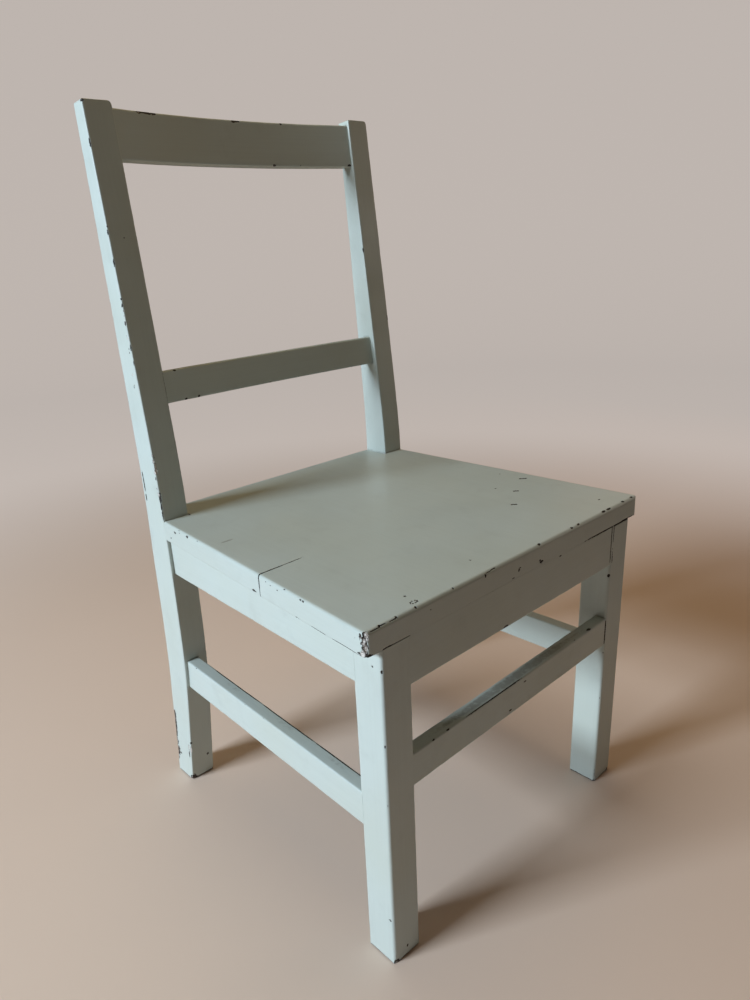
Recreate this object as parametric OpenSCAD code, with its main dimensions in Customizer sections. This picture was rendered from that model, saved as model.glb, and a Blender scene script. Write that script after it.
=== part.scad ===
// Painted wooden kitchen chair: two sawn back posts, two straight front legs, aprons,
// stretchers, a two-board seat and two back rails, joined with mortises and tenons.
// Millimetres, +Z up, the sitter faces -Y. The origin is on the floor under the middle
// of the chair's box. Lengths along Y are first counted from the front of the seat.

/* [Overall] */
// Height of the seat's top face above the floor
seat_height = 420; // [360:1:480]
// Height of the back posts above the floor
back_height = 914; // [780:1:1000]
// Seat, front edge to back edge
seat_depth = 451; // [380:1:520]
// Seat, side to side at the front edge
seat_width_front = 485; // [440:1:560]
// Outside distance across the two back posts
post_spread = 434; // [380:1:434]

/* [Seat] */
// Thickness of the seat boards
seat_thickness = 26; // [20:0.5:34]
// Width of the front seat board, front to back
seat_front_board = 178; // [140:1:240]
// Rounding of the seat's upper and lower edges
seat_edge_radius = 3; // [1:0.5:6]
// Rounding of the seat's two front corners, seen from above
seat_corner_radius = 7; // [2:0.5:16]

/* [Front legs] */
// Width of a front leg, side to side
leg_width = 40; // [30:0.5:46]
// Depth of a front leg, front to back
leg_depth = 41.5; // [30:0.5:46]
// How far the seat stands out past the outside of a front leg
leg_overhang = 19; // [5:0.5:25]
// How far a front foot stands inside the top of its leg
leg_lean_in = 2; // [0:0.5:6]
// How far a front foot stands behind the top of its leg
leg_lean_back = 4.5; // [0:0.5:10]
// Rounding of the long edges of a front leg
leg_edge_radius = 3.5; // [1:0.5:6]

/* [Back posts] */
// Width of a back post, side to side
post_width = 36; // [28:0.5:44]
// Depth of a back post at the floor
post_depth_foot = 39; // [32:0.5:46]
// Depth of a back post between the stretcher and the seat
post_depth_waist = 48; // [44:0.5:56]
// Depth of a back post at its top
post_depth_top = 22; // [21:0.5:30]
// Angle by which the foot of a post runs back, in degrees
post_splay = 8.8; // [0:0.1:12]
// Height where the foot starts to run back
splay_start = 200; // [150:1:260]
// Angle by which the upper part of a post leans back, in degrees
post_rake = 6.1; // [0:0.1:10]
// Height of the bend above the seat's top face
rake_start_over_seat = 30; // [10:1:60]
// Length over which each bend of a post is eased
bend_length = 50; // [20:1:80]
// Rounding of the corners at the top of a post, seen from the front
post_top_radius = 5; // [2:0.5:8]

/* [Aprons] */
// Height of the side and back aprons under the seat
apron_height = 50; // [40:0.5:70]
// Height of the front apron
front_apron_height = 54.5; // [40:0.5:70]
// Thickness of the aprons
apron_thickness = 20; // [18:0.5:22]
// Setback of side aprons and side stretchers from the outside of a post
side_setback = 5; // [0:0.5:8]
// Setback of the back apron from the back of the posts
back_setback = 3; // [0:0.5:6]

/* [Stretchers] */
// Height of the underside of the side stretchers above the floor
side_stretcher_bottom = 168.5; // [120:0.5:185]
// Height of a side stretcher's face
side_stretcher_height = 43; // [30:0.5:50]
// Thickness of a side stretcher
side_stretcher_thickness = 18; // [12:0.5:20]
// Height of the middle of the front stretcher's underside above the floor
front_stretcher_bottom = 221; // [150:0.5:250]
// Height of the front stretcher's face
front_stretcher_height = 39.5; // [25:0.5:45]
// Thickness of the front stretcher
front_stretcher_thickness = 17; // [12:0.5:22]
// How much higher the front stretcher sits at its right end than at its left
front_stretcher_rise = 5; // [0:0.5:10]
// Rounding of the long edges of aprons, stretchers and back rails
rail_edge_radius = 2; // [0.5:0.25:3]

/* [Back rails] */
// How far the top of the posts stands over the top rail
post_over_rail = 7; // [4:0.5:20]
// Height of the top rail's face, along the lean
top_rail_height = 56; // [40:0.5:80]
// Thickness of the top rail
top_rail_thickness = 17; // [13:0.5:17]
// How far the middle of the top rail bows back from its ends
top_rail_bow = 14; // [4:0.5:20]
// Setback of the top rail's ends from the front of the posts
top_rail_setback = 3.5; // [0:0.5:4]
// Height of the middle rail's underside over the seat's top face
middle_rail_over_seat = 144.5; // [100:0.5:220]
// Height of the middle rail's face, along the lean
middle_rail_height = 41; // [30:0.5:60]
// Thickness of the middle rail
middle_rail_thickness = 14; // [11:0.5:16]
// How far the middle of the middle rail bows back from its ends
middle_rail_bow = 10; // [4:0.5:20]
// Setback of the middle rail's ends from the front of the posts
middle_rail_setback = 8; // [2:0.5:14]

/* [Joints] */
// Length of the tenons
tenon_length = 20; // [12:0.5:20]
// How much narrower a tenon is than its rail, at the top and at the bottom
tenon_shoulder = 7; // [4:0.5:9]
// Clearance between a tenon and its mortise, on each face
joint_gap = 0.15; // [0.05:0.05:0.4]

/* [Corner blocks] */
// Height of the glue blocks under the seat
block_height = 30; // [20:1:36]
// Reach of a glue block along its aprons, counted from the inside of the leg or post
block_reach = 58; // [40:1:70]
// Radius of the seat screws' shank
screw_radius = 2; // [1.5:0.25:2.5]
// Radius of the seat screws' head
screw_head_radius = 4; // [3.5:0.25:5]
// How deep the seat screws bite into the seat boards
screw_bite = 16; // [10:0.5:17]

/* [Hidden] */

$fn = 48;
RAIL_FN = 360;
FACET_STEPS = 40;
CORNER_STEPS = 8;
ARRIS_STEPS = 4;
LEFT = -1;
RIGHT = 1;
paint = "#a9b5ac";
raw_wood = "#b08a5c";
steel = "#8c8f92";

apron_top = seat_height - seat_thickness;
apron_bottom = apron_top - apron_height;
front_apron_bottom = apron_top - front_apron_height;
leg_outer = seat_width_front / 2 - leg_overhang;
leg_inner = leg_outer - leg_width;
leg_angle_in = atan(leg_lean_in / apron_top);
leg_angle_back = atan(leg_lean_back / apron_top);
post_outer = post_spread / 2;
post_inner = post_outer - post_width;
rake_start = seat_height + rake_start_over_seat;
taper_up_start = rake_start - 2 * bend_length;
taper_down_start = splay_start - bend_length;
// Length by which a tenon's block runs back into its rail, and its way round a rail's bow
root_length = 12;
root_rise = 1;
overshoot = 60;

// A ramp that is flat before zero, rises at 45 degrees after it and is eased between
function eased_ramp(t) = (t + sqrt(t * t + bend_length * bend_length)) / 2;
// Depth of a back post at height z
function post_depth(z) = post_depth_waist
    - (post_depth_waist - post_depth_top) * eased_ramp(z - taper_up_start)
        / eased_ramp(back_height - taper_up_start)
    - (post_depth_waist - post_depth_foot) * eased_ramp(taper_down_start - z)
        / eased_ramp(taper_down_start);
// How far the posts' bends carry them back at height z
function bend(z) = tan(post_rake) * eased_ramp(z - rake_start)
    + tan(post_splay) * eased_ramp(splay_start - z);
// Front and back face of a post at height z, with its back face flush with the seat's
function post_front(z) = seat_depth - post_depth(seat_height) + bend(z) - bend(seat_height);
function post_back(z) = post_front(z) + post_depth(z);
// Outside and front face of a front leg at height z
function leg_outer_at(z) = leg_outer - leg_lean_in * (apron_top - z) / apron_top;
function leg_front_at(z) = leg_lean_back * (apron_top - z) / apron_top;

top_drop = post_depth_top * tan(post_rake);
front_apron_back = leg_front_at(front_apron_bottom + front_apron_height / 2) + apron_thickness;
back_apron_front = post_back(apron_bottom + apron_height / 2) - back_setback - apron_thickness;
top_rail_z = back_height - post_over_rail - cos(post_rake) * top_rail_height / 2;
top_rail_back = post_front(top_rail_z) + top_rail_setback + rail_edge_radius
    + cos(post_rake) * (top_rail_bow + top_rail_thickness - rail_edge_radius)
    + sin(post_rake) * (top_rail_height / 2 - rail_edge_radius);
// Distance from the front of the seat to the furthest point at the back
chair_back = max(post_back(0), post_back(back_height - top_drop), top_rail_back);
middle_rail_z = seat_height + middle_rail_over_seat + cos(post_rake) * middle_rail_height / 2;
seat_notch = min(post_front(seat_height), post_front(apron_top));
seat_taper = atan((seat_width_front / 2 - post_outer) / seat_notch);
// The seat screws stand in the thick of the corner blocks
screw_spots = [
    [leg_inner - block_reach / 5, leg_depth + block_reach / 5],
    [post_inner - block_reach / 5, seat_notch - block_reach / 5]
];

// Moves the chair so that the origin is under the middle of its box
module centred() {
    translate([0, -chair_back / 2, 0]) children();
}

// Draws a right-hand piece, or its mirror image on the left
module on_side(side) {
    mirror([side == LEFT ? 1 : 0, 0, 0]) children();
}

// Rectangle about the origin with rounded corners
module eased_rectangle(w, h, r) {
    square([w - 2 * r, h], center = true);
    square([w, h - 2 * r], center = true);
    for (x = [-1, 1], y = [-1, 1])
        translate([x * (w / 2 - r), y * (h / 2 - r)]) circle(r = r);
}

// Bar along +Y with one face on the plane x = 0, its body on the -X side, base at z = 0
module side_bar(length, thickness, height) {
    translate([-thickness / 2, length, height / 2])
        rotate([90, 0, 0])
            linear_extrude(height = length)
                eased_rectangle(thickness, height, rail_edge_radius);
}

// Bar along X about x = 0 with its front face on y = 0 and its base at z = 0
module cross_bar(length, thickness, height) {
    translate([-length / 2, thickness / 2, height / 2])
        rotate([90, 0, 90])
            linear_extrude(height = length)
                eased_rectangle(thickness, height, rail_edge_radius);
}

// ---------- legs and posts before their mortises ----------

// The frame of the right front leg: origin at the middle of its top, -Z down the leg
module in_leg_frame() {
    translate([leg_outer - leg_width / 2, leg_depth / 2, apron_top])
        rotate([leg_angle_back, leg_angle_in, 0]) children();
}

module leg_blank() {
    intersection() {
        in_leg_frame()
            translate([0, 0, -apron_top - overshoot])
                linear_extrude(height = apron_top + 2 * overshoot)
                    eased_rectangle(leg_width, leg_depth, leg_edge_radius);
        translate([0, -overshoot, 0])
            cube([seat_width_front, leg_depth + 2 * overshoot, apron_top]);
    }
}

// Everything outward of the plane of the right leg's inner face
module beyond_leg_inner_face() {
    in_leg_frame()
        translate([-leg_width / 2, -seat_depth, -2 * apron_top])
            cube([seat_depth, 2 * seat_depth, 3 * apron_top]);
}

// Everything forward of the plane of the right leg's back face
module before_leg_back_face() {
    in_leg_frame()
        translate([-seat_depth, leg_depth / 2 - seat_depth, -2 * apron_top])
            cube([2 * seat_depth, seat_depth, 3 * apron_top]);
}

// Side outline of a back post: up its front face, down its back face
module post_outline() {
    back_top = back_height - top_drop;
    polygon([
        for (i = [0:FACET_STEPS]) let (z = back_height * i / FACET_STEPS) [post_front(z), z],
        for (i = [FACET_STEPS:-1:0]) let (z = back_top * i / FACET_STEPS) [post_back(z), z]
    ]);
}

// Front outline of a back post, with its two top corners rounded
module post_face_outline() {
    r = post_top_radius;
    square([post_width, back_height - r]);
    translate([r, 0]) square([post_width - 2 * r, back_height]);
    for (x = [r, post_width - r])
        translate([x, back_height - r]) circle(r = r);
}

module post_blank() {
    intersection() {
        translate([post_inner, 0, 0])
            rotate([90, 0, 90])
                linear_extrude(height = post_width) post_outline();
        translate([post_inner, chair_back + overshoot, 0])
            rotate([90, 0, 0])
                linear_extrude(height = chair_back + 2 * overshoot) post_face_outline();
    }
}

// ---------- side aprons and side stretchers ----------

// Back face of a front leg, and the clear distance from it to the post, at height z
function side_front(z) = leg_depth + leg_front_at(z);
function side_span(z) = post_front(z) - side_front(z);

// The line from the outside of the front leg to the setback line on the post, at mid-height
module along_side(z_bottom, height) {
    z = z_bottom + height / 2;
    inward = leg_outer_at(z) - (post_outer - side_setback);
    translate([leg_outer_at(z), side_front(z), z_bottom])
        rotate([0, 0, atan(inward / side_span(z))]) children();
}

// Tenons at the two ends of a side piece, or with a gap the mortises that take them
module side_tenons(z_bottom, thickness, height, gap) {
    span = side_span(z_bottom + height / 2);
    reach = tenon_length + gap;
    for (y = [-reach, span - root_length])
        along_side(z_bottom, height)
            translate([-3 * thickness / 4 - gap, y, tenon_shoulder - gap])
                cube([thickness / 2 + 2 * gap,
                      reach + root_length,
                      height - 2 * tenon_shoulder + 2 * gap]);
}

module side_piece(z_bottom, thickness, height) {
    difference() {
        along_side(z_bottom, height)
            translate([0, -root_length, 0])
                side_bar(side_span(z_bottom + height / 2) + 2 * root_length, thickness, height);
        before_leg_back_face();
        post_blank();
    }
    side_tenons(z_bottom, thickness, height, 0);
}

// ---------- cross pieces between legs and between posts ----------

// Tenons of a straight cross piece, or with a gap the mortises that take them
module cross_tenons(half_span, thickness, height, gap) {
    length = 2 * (half_span + tenon_length + gap);
    translate([-length / 2, thickness / 4 - gap, tenon_shoulder - gap])
        cube([length, thickness / 2 + 2 * gap, height - 2 * tenon_shoulder + 2 * gap]);
}

module at_front_apron() {
    translate([0, leg_front_at(front_apron_bottom + front_apron_height / 2), front_apron_bottom]) children();
}

module at_front_stretcher() {
    z = front_stretcher_bottom + front_stretcher_height / 2;
    tilt = atan(front_stretcher_rise / (2 * leg_inner));
    translate([0, leg_front_at(z), front_stretcher_bottom]) rotate([0, -tilt, 0]) children();
}

module at_back_apron() {
    translate([0, back_apron_front, apron_bottom]) children();
}

// A straight cross bar cut off at the leaning inner faces of both front legs
module cut_at_legs() {
    difference() {
        children();
        on_side(LEFT) beyond_leg_inner_face();
        on_side(RIGHT) beyond_leg_inner_face();
    }
}

// ---------- curved back rails ----------

// The leaning frame of a back rail: front face of the posts plus its setback, at mid-height
module in_rail_frame(z_middle, setback) {
    translate([0, post_front(z_middle) + setback, z_middle])
        rotate([-post_rake, 0, 0]) children();
}

// Rail bowed back between the posts: an arc through both ends and the bow in the middle
module curved_rail(thickness, height, bow) {
    radius = (post_inner * post_inner + bow * bow) / (2 * bow);
    half_angle = asin((post_inner + root_length) / radius);
    intersection() {
        translate([0, bow - radius, 0])
            rotate([0, 0, 90 - half_angle])
                rotate_extrude(angle = 2 * half_angle, $fn = RAIL_FN)
                    translate([radius + thickness / 2, 0])
                        eased_rectangle(thickness, height, rail_edge_radius);
        cube([2 * post_inner, seat_depth, 2 * height], center = true);
    }
}

// Tenons of a curved rail, or with a gap the mortises that take them
module rail_tenons(thickness, height, gap) {
    reach = tenon_length + gap;
    for (x = [-post_inner - reach, post_inner - root_length])
        translate([x, thickness / 4 + root_rise - gap, tenon_shoulder - height / 2 - gap])
            cube([reach + root_length,
                  thickness / 2 + 2 * gap,
                  height - 2 * tenon_shoulder + 2 * gap]);
}

module top_rail_tenons(gap) {
    in_rail_frame(top_rail_z, top_rail_setback)
        rail_tenons(top_rail_thickness, top_rail_height, gap);
}

module middle_rail_tenons(gap) {
    in_rail_frame(middle_rail_z, middle_rail_setback)
        rail_tenons(middle_rail_thickness, middle_rail_height, gap);
}

// ---------- legs and posts ----------

module front_leg(side) {
    color(paint) difference() {
        on_side(side) leg_blank();
        at_front_apron() cross_tenons(leg_inner, apron_thickness, front_apron_height, joint_gap);
        at_front_stretcher()
            cross_tenons(leg_inner, front_stretcher_thickness, front_stretcher_height, joint_gap);
        on_side(side) side_tenons(apron_bottom, apron_thickness, apron_height, joint_gap);
        on_side(side)
            side_tenons(side_stretcher_bottom, side_stretcher_thickness,
                        side_stretcher_height, joint_gap);
    }
}

module back_post(side) {
    color(paint) difference() {
        on_side(side) post_blank();
        at_back_apron() cross_tenons(post_inner, apron_thickness, apron_height, joint_gap);
        top_rail_tenons(joint_gap);
        middle_rail_tenons(joint_gap);
        on_side(side) side_tenons(apron_bottom, apron_thickness, apron_height, joint_gap);
        on_side(side)
            side_tenons(side_stretcher_bottom, side_stretcher_thickness,
                        side_stretcher_height, joint_gap);
    }
}

// ---------- aprons, stretchers and rails ----------

module front_apron() {
    color(paint) {
        cut_at_legs() at_front_apron()
            cross_bar(2 * leg_outer, apron_thickness, front_apron_height);
        at_front_apron() cross_tenons(leg_inner, apron_thickness, front_apron_height, 0);
    }
}

module side_apron(side) {
    color(paint) on_side(side) side_piece(apron_bottom, apron_thickness, apron_height);
}

module back_apron() {
    color(paint) at_back_apron() {
        cross_bar(2 * post_inner, apron_thickness, apron_height);
        cross_tenons(post_inner, apron_thickness, apron_height, 0);
    }
}

module side_stretcher(side) {
    color(paint) on_side(side)
        side_piece(side_stretcher_bottom, side_stretcher_thickness, side_stretcher_height);
}

module front_stretcher() {
    color(paint) {
        cut_at_legs() at_front_stretcher()
            cross_bar(2 * leg_outer, front_stretcher_thickness, front_stretcher_height);
        at_front_stretcher()
            cross_tenons(leg_inner, front_stretcher_thickness, front_stretcher_height, 0);
    }
}

module top_rail() {
    color(paint) {
        in_rail_frame(top_rail_z, top_rail_setback)
            curved_rail(top_rail_thickness, top_rail_height, top_rail_bow);
        top_rail_tenons(0);
    }
}

module middle_rail() {
    color(paint) {
        in_rail_frame(middle_rail_z, middle_rail_setback)
            curved_rail(middle_rail_thickness, middle_rail_height, middle_rail_bow);
        middle_rail_tenons(0);
    }
}

// ---------- seat ----------

// Right-hand outline of the seat, front to back: a rounded front corner, a straight
// tapering side and a corner cut away for the post
function half_seat_outline() =
    let (corner_x = seat_width_front / 2
             - seat_corner_radius * (1 + sin(seat_taper)) / cos(seat_taper))
    [
        for (i = [0:CORNER_STEPS]) let (a = -90 + (90 + seat_taper) * i / CORNER_STEPS)
            [corner_x + seat_corner_radius * cos(a), seat_corner_radius * (1 + sin(a))],
        [post_outer, seat_notch],
        [post_outer, seat_notch + post_width / 4],
        [post_inner, seat_notch + post_width / 4],
        [post_inner, seat_depth]
    ];

// Outline of the whole seat: the right side, then the left side back to front
module seat_plan() {
    half = half_seat_outline();
    polygon([
        each half,
        for (i = [len(half) - 1:-1:0]) [-half[i].x, half[i].y]
    ]);
}

// Cuts the arris along +X at y = 0, z = 0 of a body that lies behind and below it. The
// cutter runs past both ends, and its round past both faces, so that every cut is clean.
module arris_cutter(length) {
    r = seat_edge_radius;
    step = 90 / ARRIS_STEPS;
    past = r * tan(step / 2);
    translate([-r, 0, 0]) rotate([90, 0, 90]) linear_extrude(height = length + 2 * r)
        polygon([
            [2 * r, past],
            for (a = [step:step:90 - step]) [r * (1 - sin(a)), r * (cos(a) - 1)],
            [-past, -2 * r],
            [-2 * r, -2 * r],
            [-2 * r, 2 * r],
            [2 * r, 2 * r]
        ]);
}

// The two arrises of an edge of the seat, at its top face and at its underside
module both_arrises(length) {
    translate([0, 0, seat_height]) arris_cutter(length);
    translate([0, 0, apron_top]) mirror([0, 0, 1]) arris_cutter(length);
}

module seat_blank() {
    difference() {
        translate([0, 0, apron_top]) linear_extrude(height = seat_thickness) seat_plan();
        translate([-seat_width_front / 2, 0, 0]) both_arrises(seat_width_front);
        translate([post_inner, seat_depth, 0])
            rotate([0, 0, 180]) both_arrises(2 * post_inner);
        for (side = [LEFT, RIGHT]) on_side(side) {
            translate([seat_width_front / 2, 0, 0])
                rotate([0, 0, 90 + seat_taper]) both_arrises(seat_notch / cos(seat_taper));
            post_blank();
        }
    }
}

// The stretch of the seat between two distances from its front edge
module seat_board(from, to) {
    color(paint) difference() {
        intersection() {
            seat_blank();
            translate([-seat_width_front, from, 0])
                cube([2 * seat_width_front, to - from, 2 * seat_height]);
        }
        screws(joint_gap);
    }
}

// ---------- corner blocks and their screws ----------

// Everything outward of the plane of the right side apron's inner face
module beyond_side_apron_inner_face() {
    along_side(apron_bottom, apron_height)
        translate([-apron_thickness, -overshoot, -overshoot])
            cube([2 * overshoot, seat_depth + overshoot, apron_height + 2 * overshoot]);
}

// Three-cornered glue block against the cross apron's inner face at y_wall. Its corner is
// cut away for the leg or post, whose nearest corner is at the point notch.
module corner_block(y_wall, notch) {
    y_end = notch.y + sign(notch.y - y_wall) * block_reach;
    difference() {
        translate([0, 0, apron_top - block_height])
            linear_extrude(height = block_height)
                polygon([[notch.x - block_reach, y_wall], [notch.x, y_wall], notch,
                         [leg_outer, notch.y], [leg_outer, y_end], [notch.x, y_end]]);
        beyond_side_apron_inner_face();
    }
}

module front_corner_block(side) {
    z = apron_top - block_height;
    color(raw_wood) difference() {
        on_side(side)
            corner_block(front_apron_back, [leg_outer_at(z) - leg_width, side_front(z)]);
        screws(joint_gap);
    }
}

module back_corner_block(side) {
    nearest = min(seat_notch, post_front(apron_top - block_height));
    color(raw_wood) difference() {
        on_side(side) corner_block(back_apron_front, [post_inner, nearest]);
        screws(joint_gap);
    }
}

// Wood screw standing on its head, or with a gap the hole that takes it
module screw(gap) {
    r = screw_radius + gap;
    head = screw_head_radius + gap;
    point = 2 * screw_radius;
    length = block_height + screw_bite;
    translate([0, 0, -gap]) cylinder(r1 = head, r2 = r, h = head - r);
    cylinder(r = r, h = length - point);
    translate([0, 0, length - point]) cylinder(r1 = r, r2 = r / 4, h = point + gap);
}

module screws(gap) {
    for (side = [LEFT, RIGHT], spot = screw_spots)
        on_side(side) translate([spot.x, spot.y, apron_top - block_height]) screw(gap);
}

module seat_screws() {
    color(steel) screws(0);
}

centred() front_leg(LEFT);  // front_leg_left
centred() front_leg(RIGHT);  // front_leg_right
centred() back_post(LEFT);  // back_post_left
centred() back_post(RIGHT);  // back_post_right
centred() front_apron();
centred() side_apron(LEFT);  // left_apron
centred() side_apron(RIGHT);  // right_apron
centred() back_apron();
centred() seat_board(0, seat_front_board);  // seat_board_front
centred() seat_board(seat_front_board, seat_depth);  // seat_board_back
centred() side_stretcher(LEFT);  // left_stretcher
centred() side_stretcher(RIGHT);  // right_stretcher
centred() front_stretcher();
centred() top_rail();
centred() middle_rail();
centred() front_corner_block(LEFT);  // corner_block_front_left
centred() front_corner_block(RIGHT);  // corner_block_front_right
centred() back_corner_block(LEFT);  // corner_block_back_left
centred() back_corner_block(RIGHT);  // corner_block_back_right
centred() seat_screws();
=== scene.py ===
"""Looks of a painted wooden kitchen chair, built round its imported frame.

Each timber is a closed mesh of its own: rounded arrises, faces that are not quite flat, and
places where the old paint has come off down to dark wood. Sizes are millimetres here, and a
mesh is turned to metres as it is made. A timber has its own coordinates: "along" runs from
end to end, "a" and "b" run across it, so that a x b points along, all counted in mm.
"""

import logging
import math
from abc import ABC, abstractmethod
from collections.abc import Sequence
from dataclasses import dataclass, field
from enum import Enum
from typing import ClassVar

import bmesh
import bpy
import numpy as np
from mathutils import Matrix, Vector
from mathutils.bvhtree import BVHTree

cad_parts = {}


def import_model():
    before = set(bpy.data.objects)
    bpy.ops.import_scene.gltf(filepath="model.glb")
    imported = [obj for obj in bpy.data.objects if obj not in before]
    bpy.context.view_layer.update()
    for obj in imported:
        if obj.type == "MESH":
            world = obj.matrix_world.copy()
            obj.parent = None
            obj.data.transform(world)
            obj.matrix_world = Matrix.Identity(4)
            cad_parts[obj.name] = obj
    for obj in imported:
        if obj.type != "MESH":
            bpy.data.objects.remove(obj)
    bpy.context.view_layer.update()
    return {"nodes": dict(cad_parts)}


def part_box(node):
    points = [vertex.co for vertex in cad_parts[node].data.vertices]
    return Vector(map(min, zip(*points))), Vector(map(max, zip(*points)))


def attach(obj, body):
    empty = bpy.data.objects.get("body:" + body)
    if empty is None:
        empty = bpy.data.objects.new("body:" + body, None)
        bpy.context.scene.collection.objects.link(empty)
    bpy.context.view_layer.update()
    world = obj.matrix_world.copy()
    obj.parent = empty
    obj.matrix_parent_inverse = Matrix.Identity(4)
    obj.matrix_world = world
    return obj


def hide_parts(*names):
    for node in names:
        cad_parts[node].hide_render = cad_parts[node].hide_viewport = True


log = logging.getLogger("chair")

Array = np.ndarray
Pair = tuple[Array, Array]
Number = Array | float
Colour = tuple[float, float, float, float]
Socket = bpy.types.NodeSocket

MM = 0.001
SEED = 1931
CORNER_CELLS = 3
CLOSE_TO_JOINT = 5.0
SHARP_ANGLE = math.radians(38)
# How far a flush piece lies inside the face that it is flush with, in mm.
FLUSH_STEP = 0.03


class Side(Enum):
    """Left and right as seen by someone who stands in front of the chair."""

    LEFT = -1
    RIGHT = 1

    @property
    def word(self) -> str:
        """The side's name in piece and node names."""
        return self.name.lower()


class Damage(Enum):
    """What a mark has done to the paint."""

    CHIP = "chip"
    FLAKE = "flake"
    CRACK = "crack"
    SCUFF = "scuff"


@dataclass(frozen=True)
class Mark:
    """One place where the paint is damaged.

    Args:
        at: middle of the mark in the chair's frame, in mm.
        reach: half its length in x, y and z, in mm.
        depth: how deep it goes, in mm.
        kind: what it has done to the paint.
    """

    at: tuple[float, float, float]
    reach: tuple[float, float, float]
    depth: float = 0.5
    kind: Damage = Damage.CHIP


def scattered(
    random: np.random.Generator,
    middle: tuple[float, float, float],
    spread: tuple[float, float, float],
    sizes: Sequence[float],
    pale: float = 0.5,
) -> list[Mark]:
    """Small chips strewn over a worn place.

    Args:
        random: the source of random numbers.
        middle: middle of the place in mm.
        spread: half its size in x, y and z, in mm.
        sizes: half width of each chip, in mm.
        pale: share of the chips that stop at the pale primer.

    Returns:
        One mark for each size.
    """
    marks = []
    for size in sizes:
        at = np.array(middle) + random.uniform(-1, 1, 3) * spread
        kind = Damage.FLAKE if random.uniform() < pale else Damage.CHIP
        reach = (size, size, size * random.uniform(1, 2))
        marks.append(Mark(tuple(at), reach, 0.5, kind))
    return marks


def eased_ramp(t: Number, ease: float) -> Number:
    """A ramp that is flat before zero, rises at 45 degrees after it and is eased between."""
    return (t + np.sqrt(t * t + ease * ease)) / 2


def smooth_step(value: Array, low: float, high: float) -> Array:
    """0 below low, 1 above high and a smooth rise between."""
    t = np.clip((value - low) / (high - low), 0, 1)
    return t * t * (3 - 2 * t)


class SoftNoise:
    """A smooth random field in space, the same on every run."""

    SIDE = 32

    def __init__(self, seed: int) -> None:
        """Draws the field's corner values from the seed."""
        side = self.SIDE
        self.grid = np.random.default_rng(seed).uniform(-1, 1, (side, side, side))

    def sample(self, points: Array, spacing: float) -> Array:
        """Reads the field.

        Args:
            points: places to read, one a row.
            spacing: distance from one bump of the field to the next, in the same unit.

        Returns:
            One value from -1 to 1 for each point.
        """
        scaled = points / spacing + 0.37
        base = np.floor(scaled).astype(int)
        part = scaled - base
        part = part * part * (3 - 2 * part)
        total = np.zeros(len(points))
        for corner in np.ndindex(2, 2, 2):
            weight = np.prod(np.where(corner, part, 1 - part), axis=1)
            x, y, z = ((base + corner) % self.SIDE).T
            total += weight * self.grid[x, y, z]
        return total


# ---------- finishes ----------


class NodeWriter:
    """A short way to write the nodes of a tree."""

    PREFIX = ""

    def __init__(self, tree: bpy.types.NodeTree) -> None:
        """Keeps the tree that is written."""
        self.tree = tree

    def add(self, kind: str, inputs: dict | None = None, **settings: object) -> bpy.types.Node:
        """Adds a node.

        Args:
            kind: the node's type, without the prefix.
            inputs: socket name or number to a value or to the socket that feeds it.
            settings: properties of the node.

        Returns:
            The new node.
        """
        node = self.tree.nodes.new(self.PREFIX + kind)
        for key, value in settings.items():
            setattr(node, key, value)
        for key, value in (inputs or {}).items():
            if isinstance(value, Socket):
                self.tree.links.new(value, node.inputs[key])
            else:
                node.inputs[key].default_value = value
        return node


class Graph(NodeWriter):
    """The nodes of one material."""

    PREFIX = "ShaderNode"

    def __init__(self, name: str) -> None:
        """Starts an empty material.

        Args:
            name: the material's name.
        """
        self.material = bpy.data.materials.new(name)
        self.material.use_nodes = True
        super().__init__(self.material.node_tree)
        self.tree.nodes.clear()

    def attribute(self, name: str) -> Socket:
        """A number that the mesh carries."""
        return self.add("Attribute", attribute_name=name).outputs["Fac"]

    def grain_coordinates(self, along: float, across: float) -> Socket:
        """The timber's own coordinates, in so many pattern units a metre along it and across."""
        own = self.add("Attribute", attribute_name="grain").outputs["Vector"]
        return self.add("Mapping", {"Vector": own, "Scale": (along, across, across)}).outputs["Vector"]

    def place(self) -> Socket:
        """Object coordinates."""
        return self.add("TexCoord").outputs["Object"]

    def noise(self, vector: Socket, scale: float, detail: float = 2.0, rough: float = 0.5) -> Socket:
        """A noise pattern around 0.5, with so many bumps in a unit and so many finer layers."""
        inputs = {"Vector": vector, "Scale": scale, "Detail": detail, "Roughness": rough}
        return self.add("TexNoise", inputs).outputs["Fac"]

    def math(self, operation: str, first: object, second: object) -> Socket:
        """A sum, product or the like of two numbers or sockets."""
        return self.add("Math", {0: first, 1: second}, operation=operation).outputs[0]

    def ramp(
        self, value: Socket, low: float, high: float, bottom: float = 0.0, top: float = 1.0
    ) -> Socket:
        """A smooth rise from bottom, at a low value, to top, at a high one."""
        inputs = {"Value": value, "From Min": low, "From Max": high, "To Min": bottom, "To Max": top}
        return self.add("MapRange", inputs, interpolation_type="SMOOTHSTEP").outputs["Result"]

    def mix(self, factor: object, first: object, second: object) -> Socket:
        """One colour laid over another by a factor."""
        return self.add("Mix", {0: factor, 6: first, 7: second}, data_type="RGBA").outputs[2]

    def bump(self, height: Socket, depth: float = MM) -> Socket:
        """A normal tilted by a height that is counted in units of depth."""
        return self.add("Bump", {"Height": height, "Distance": depth, "Strength": 1.0}).outputs["Normal"]

    def finish(self, **inputs: object) -> bpy.types.Material:
        """Gives the material its surface.

        Args:
            inputs: the surface's socket names, with _ for a space, to a value or a socket.

        Returns:
            The finished material.
        """
        shader = self.add("BsdfPrincipled", {k.replace("_", " "): v for k, v in inputs.items()})
        self.add("OutputMaterial", {"Surface": shader.outputs[0]})
        return self.material


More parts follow.
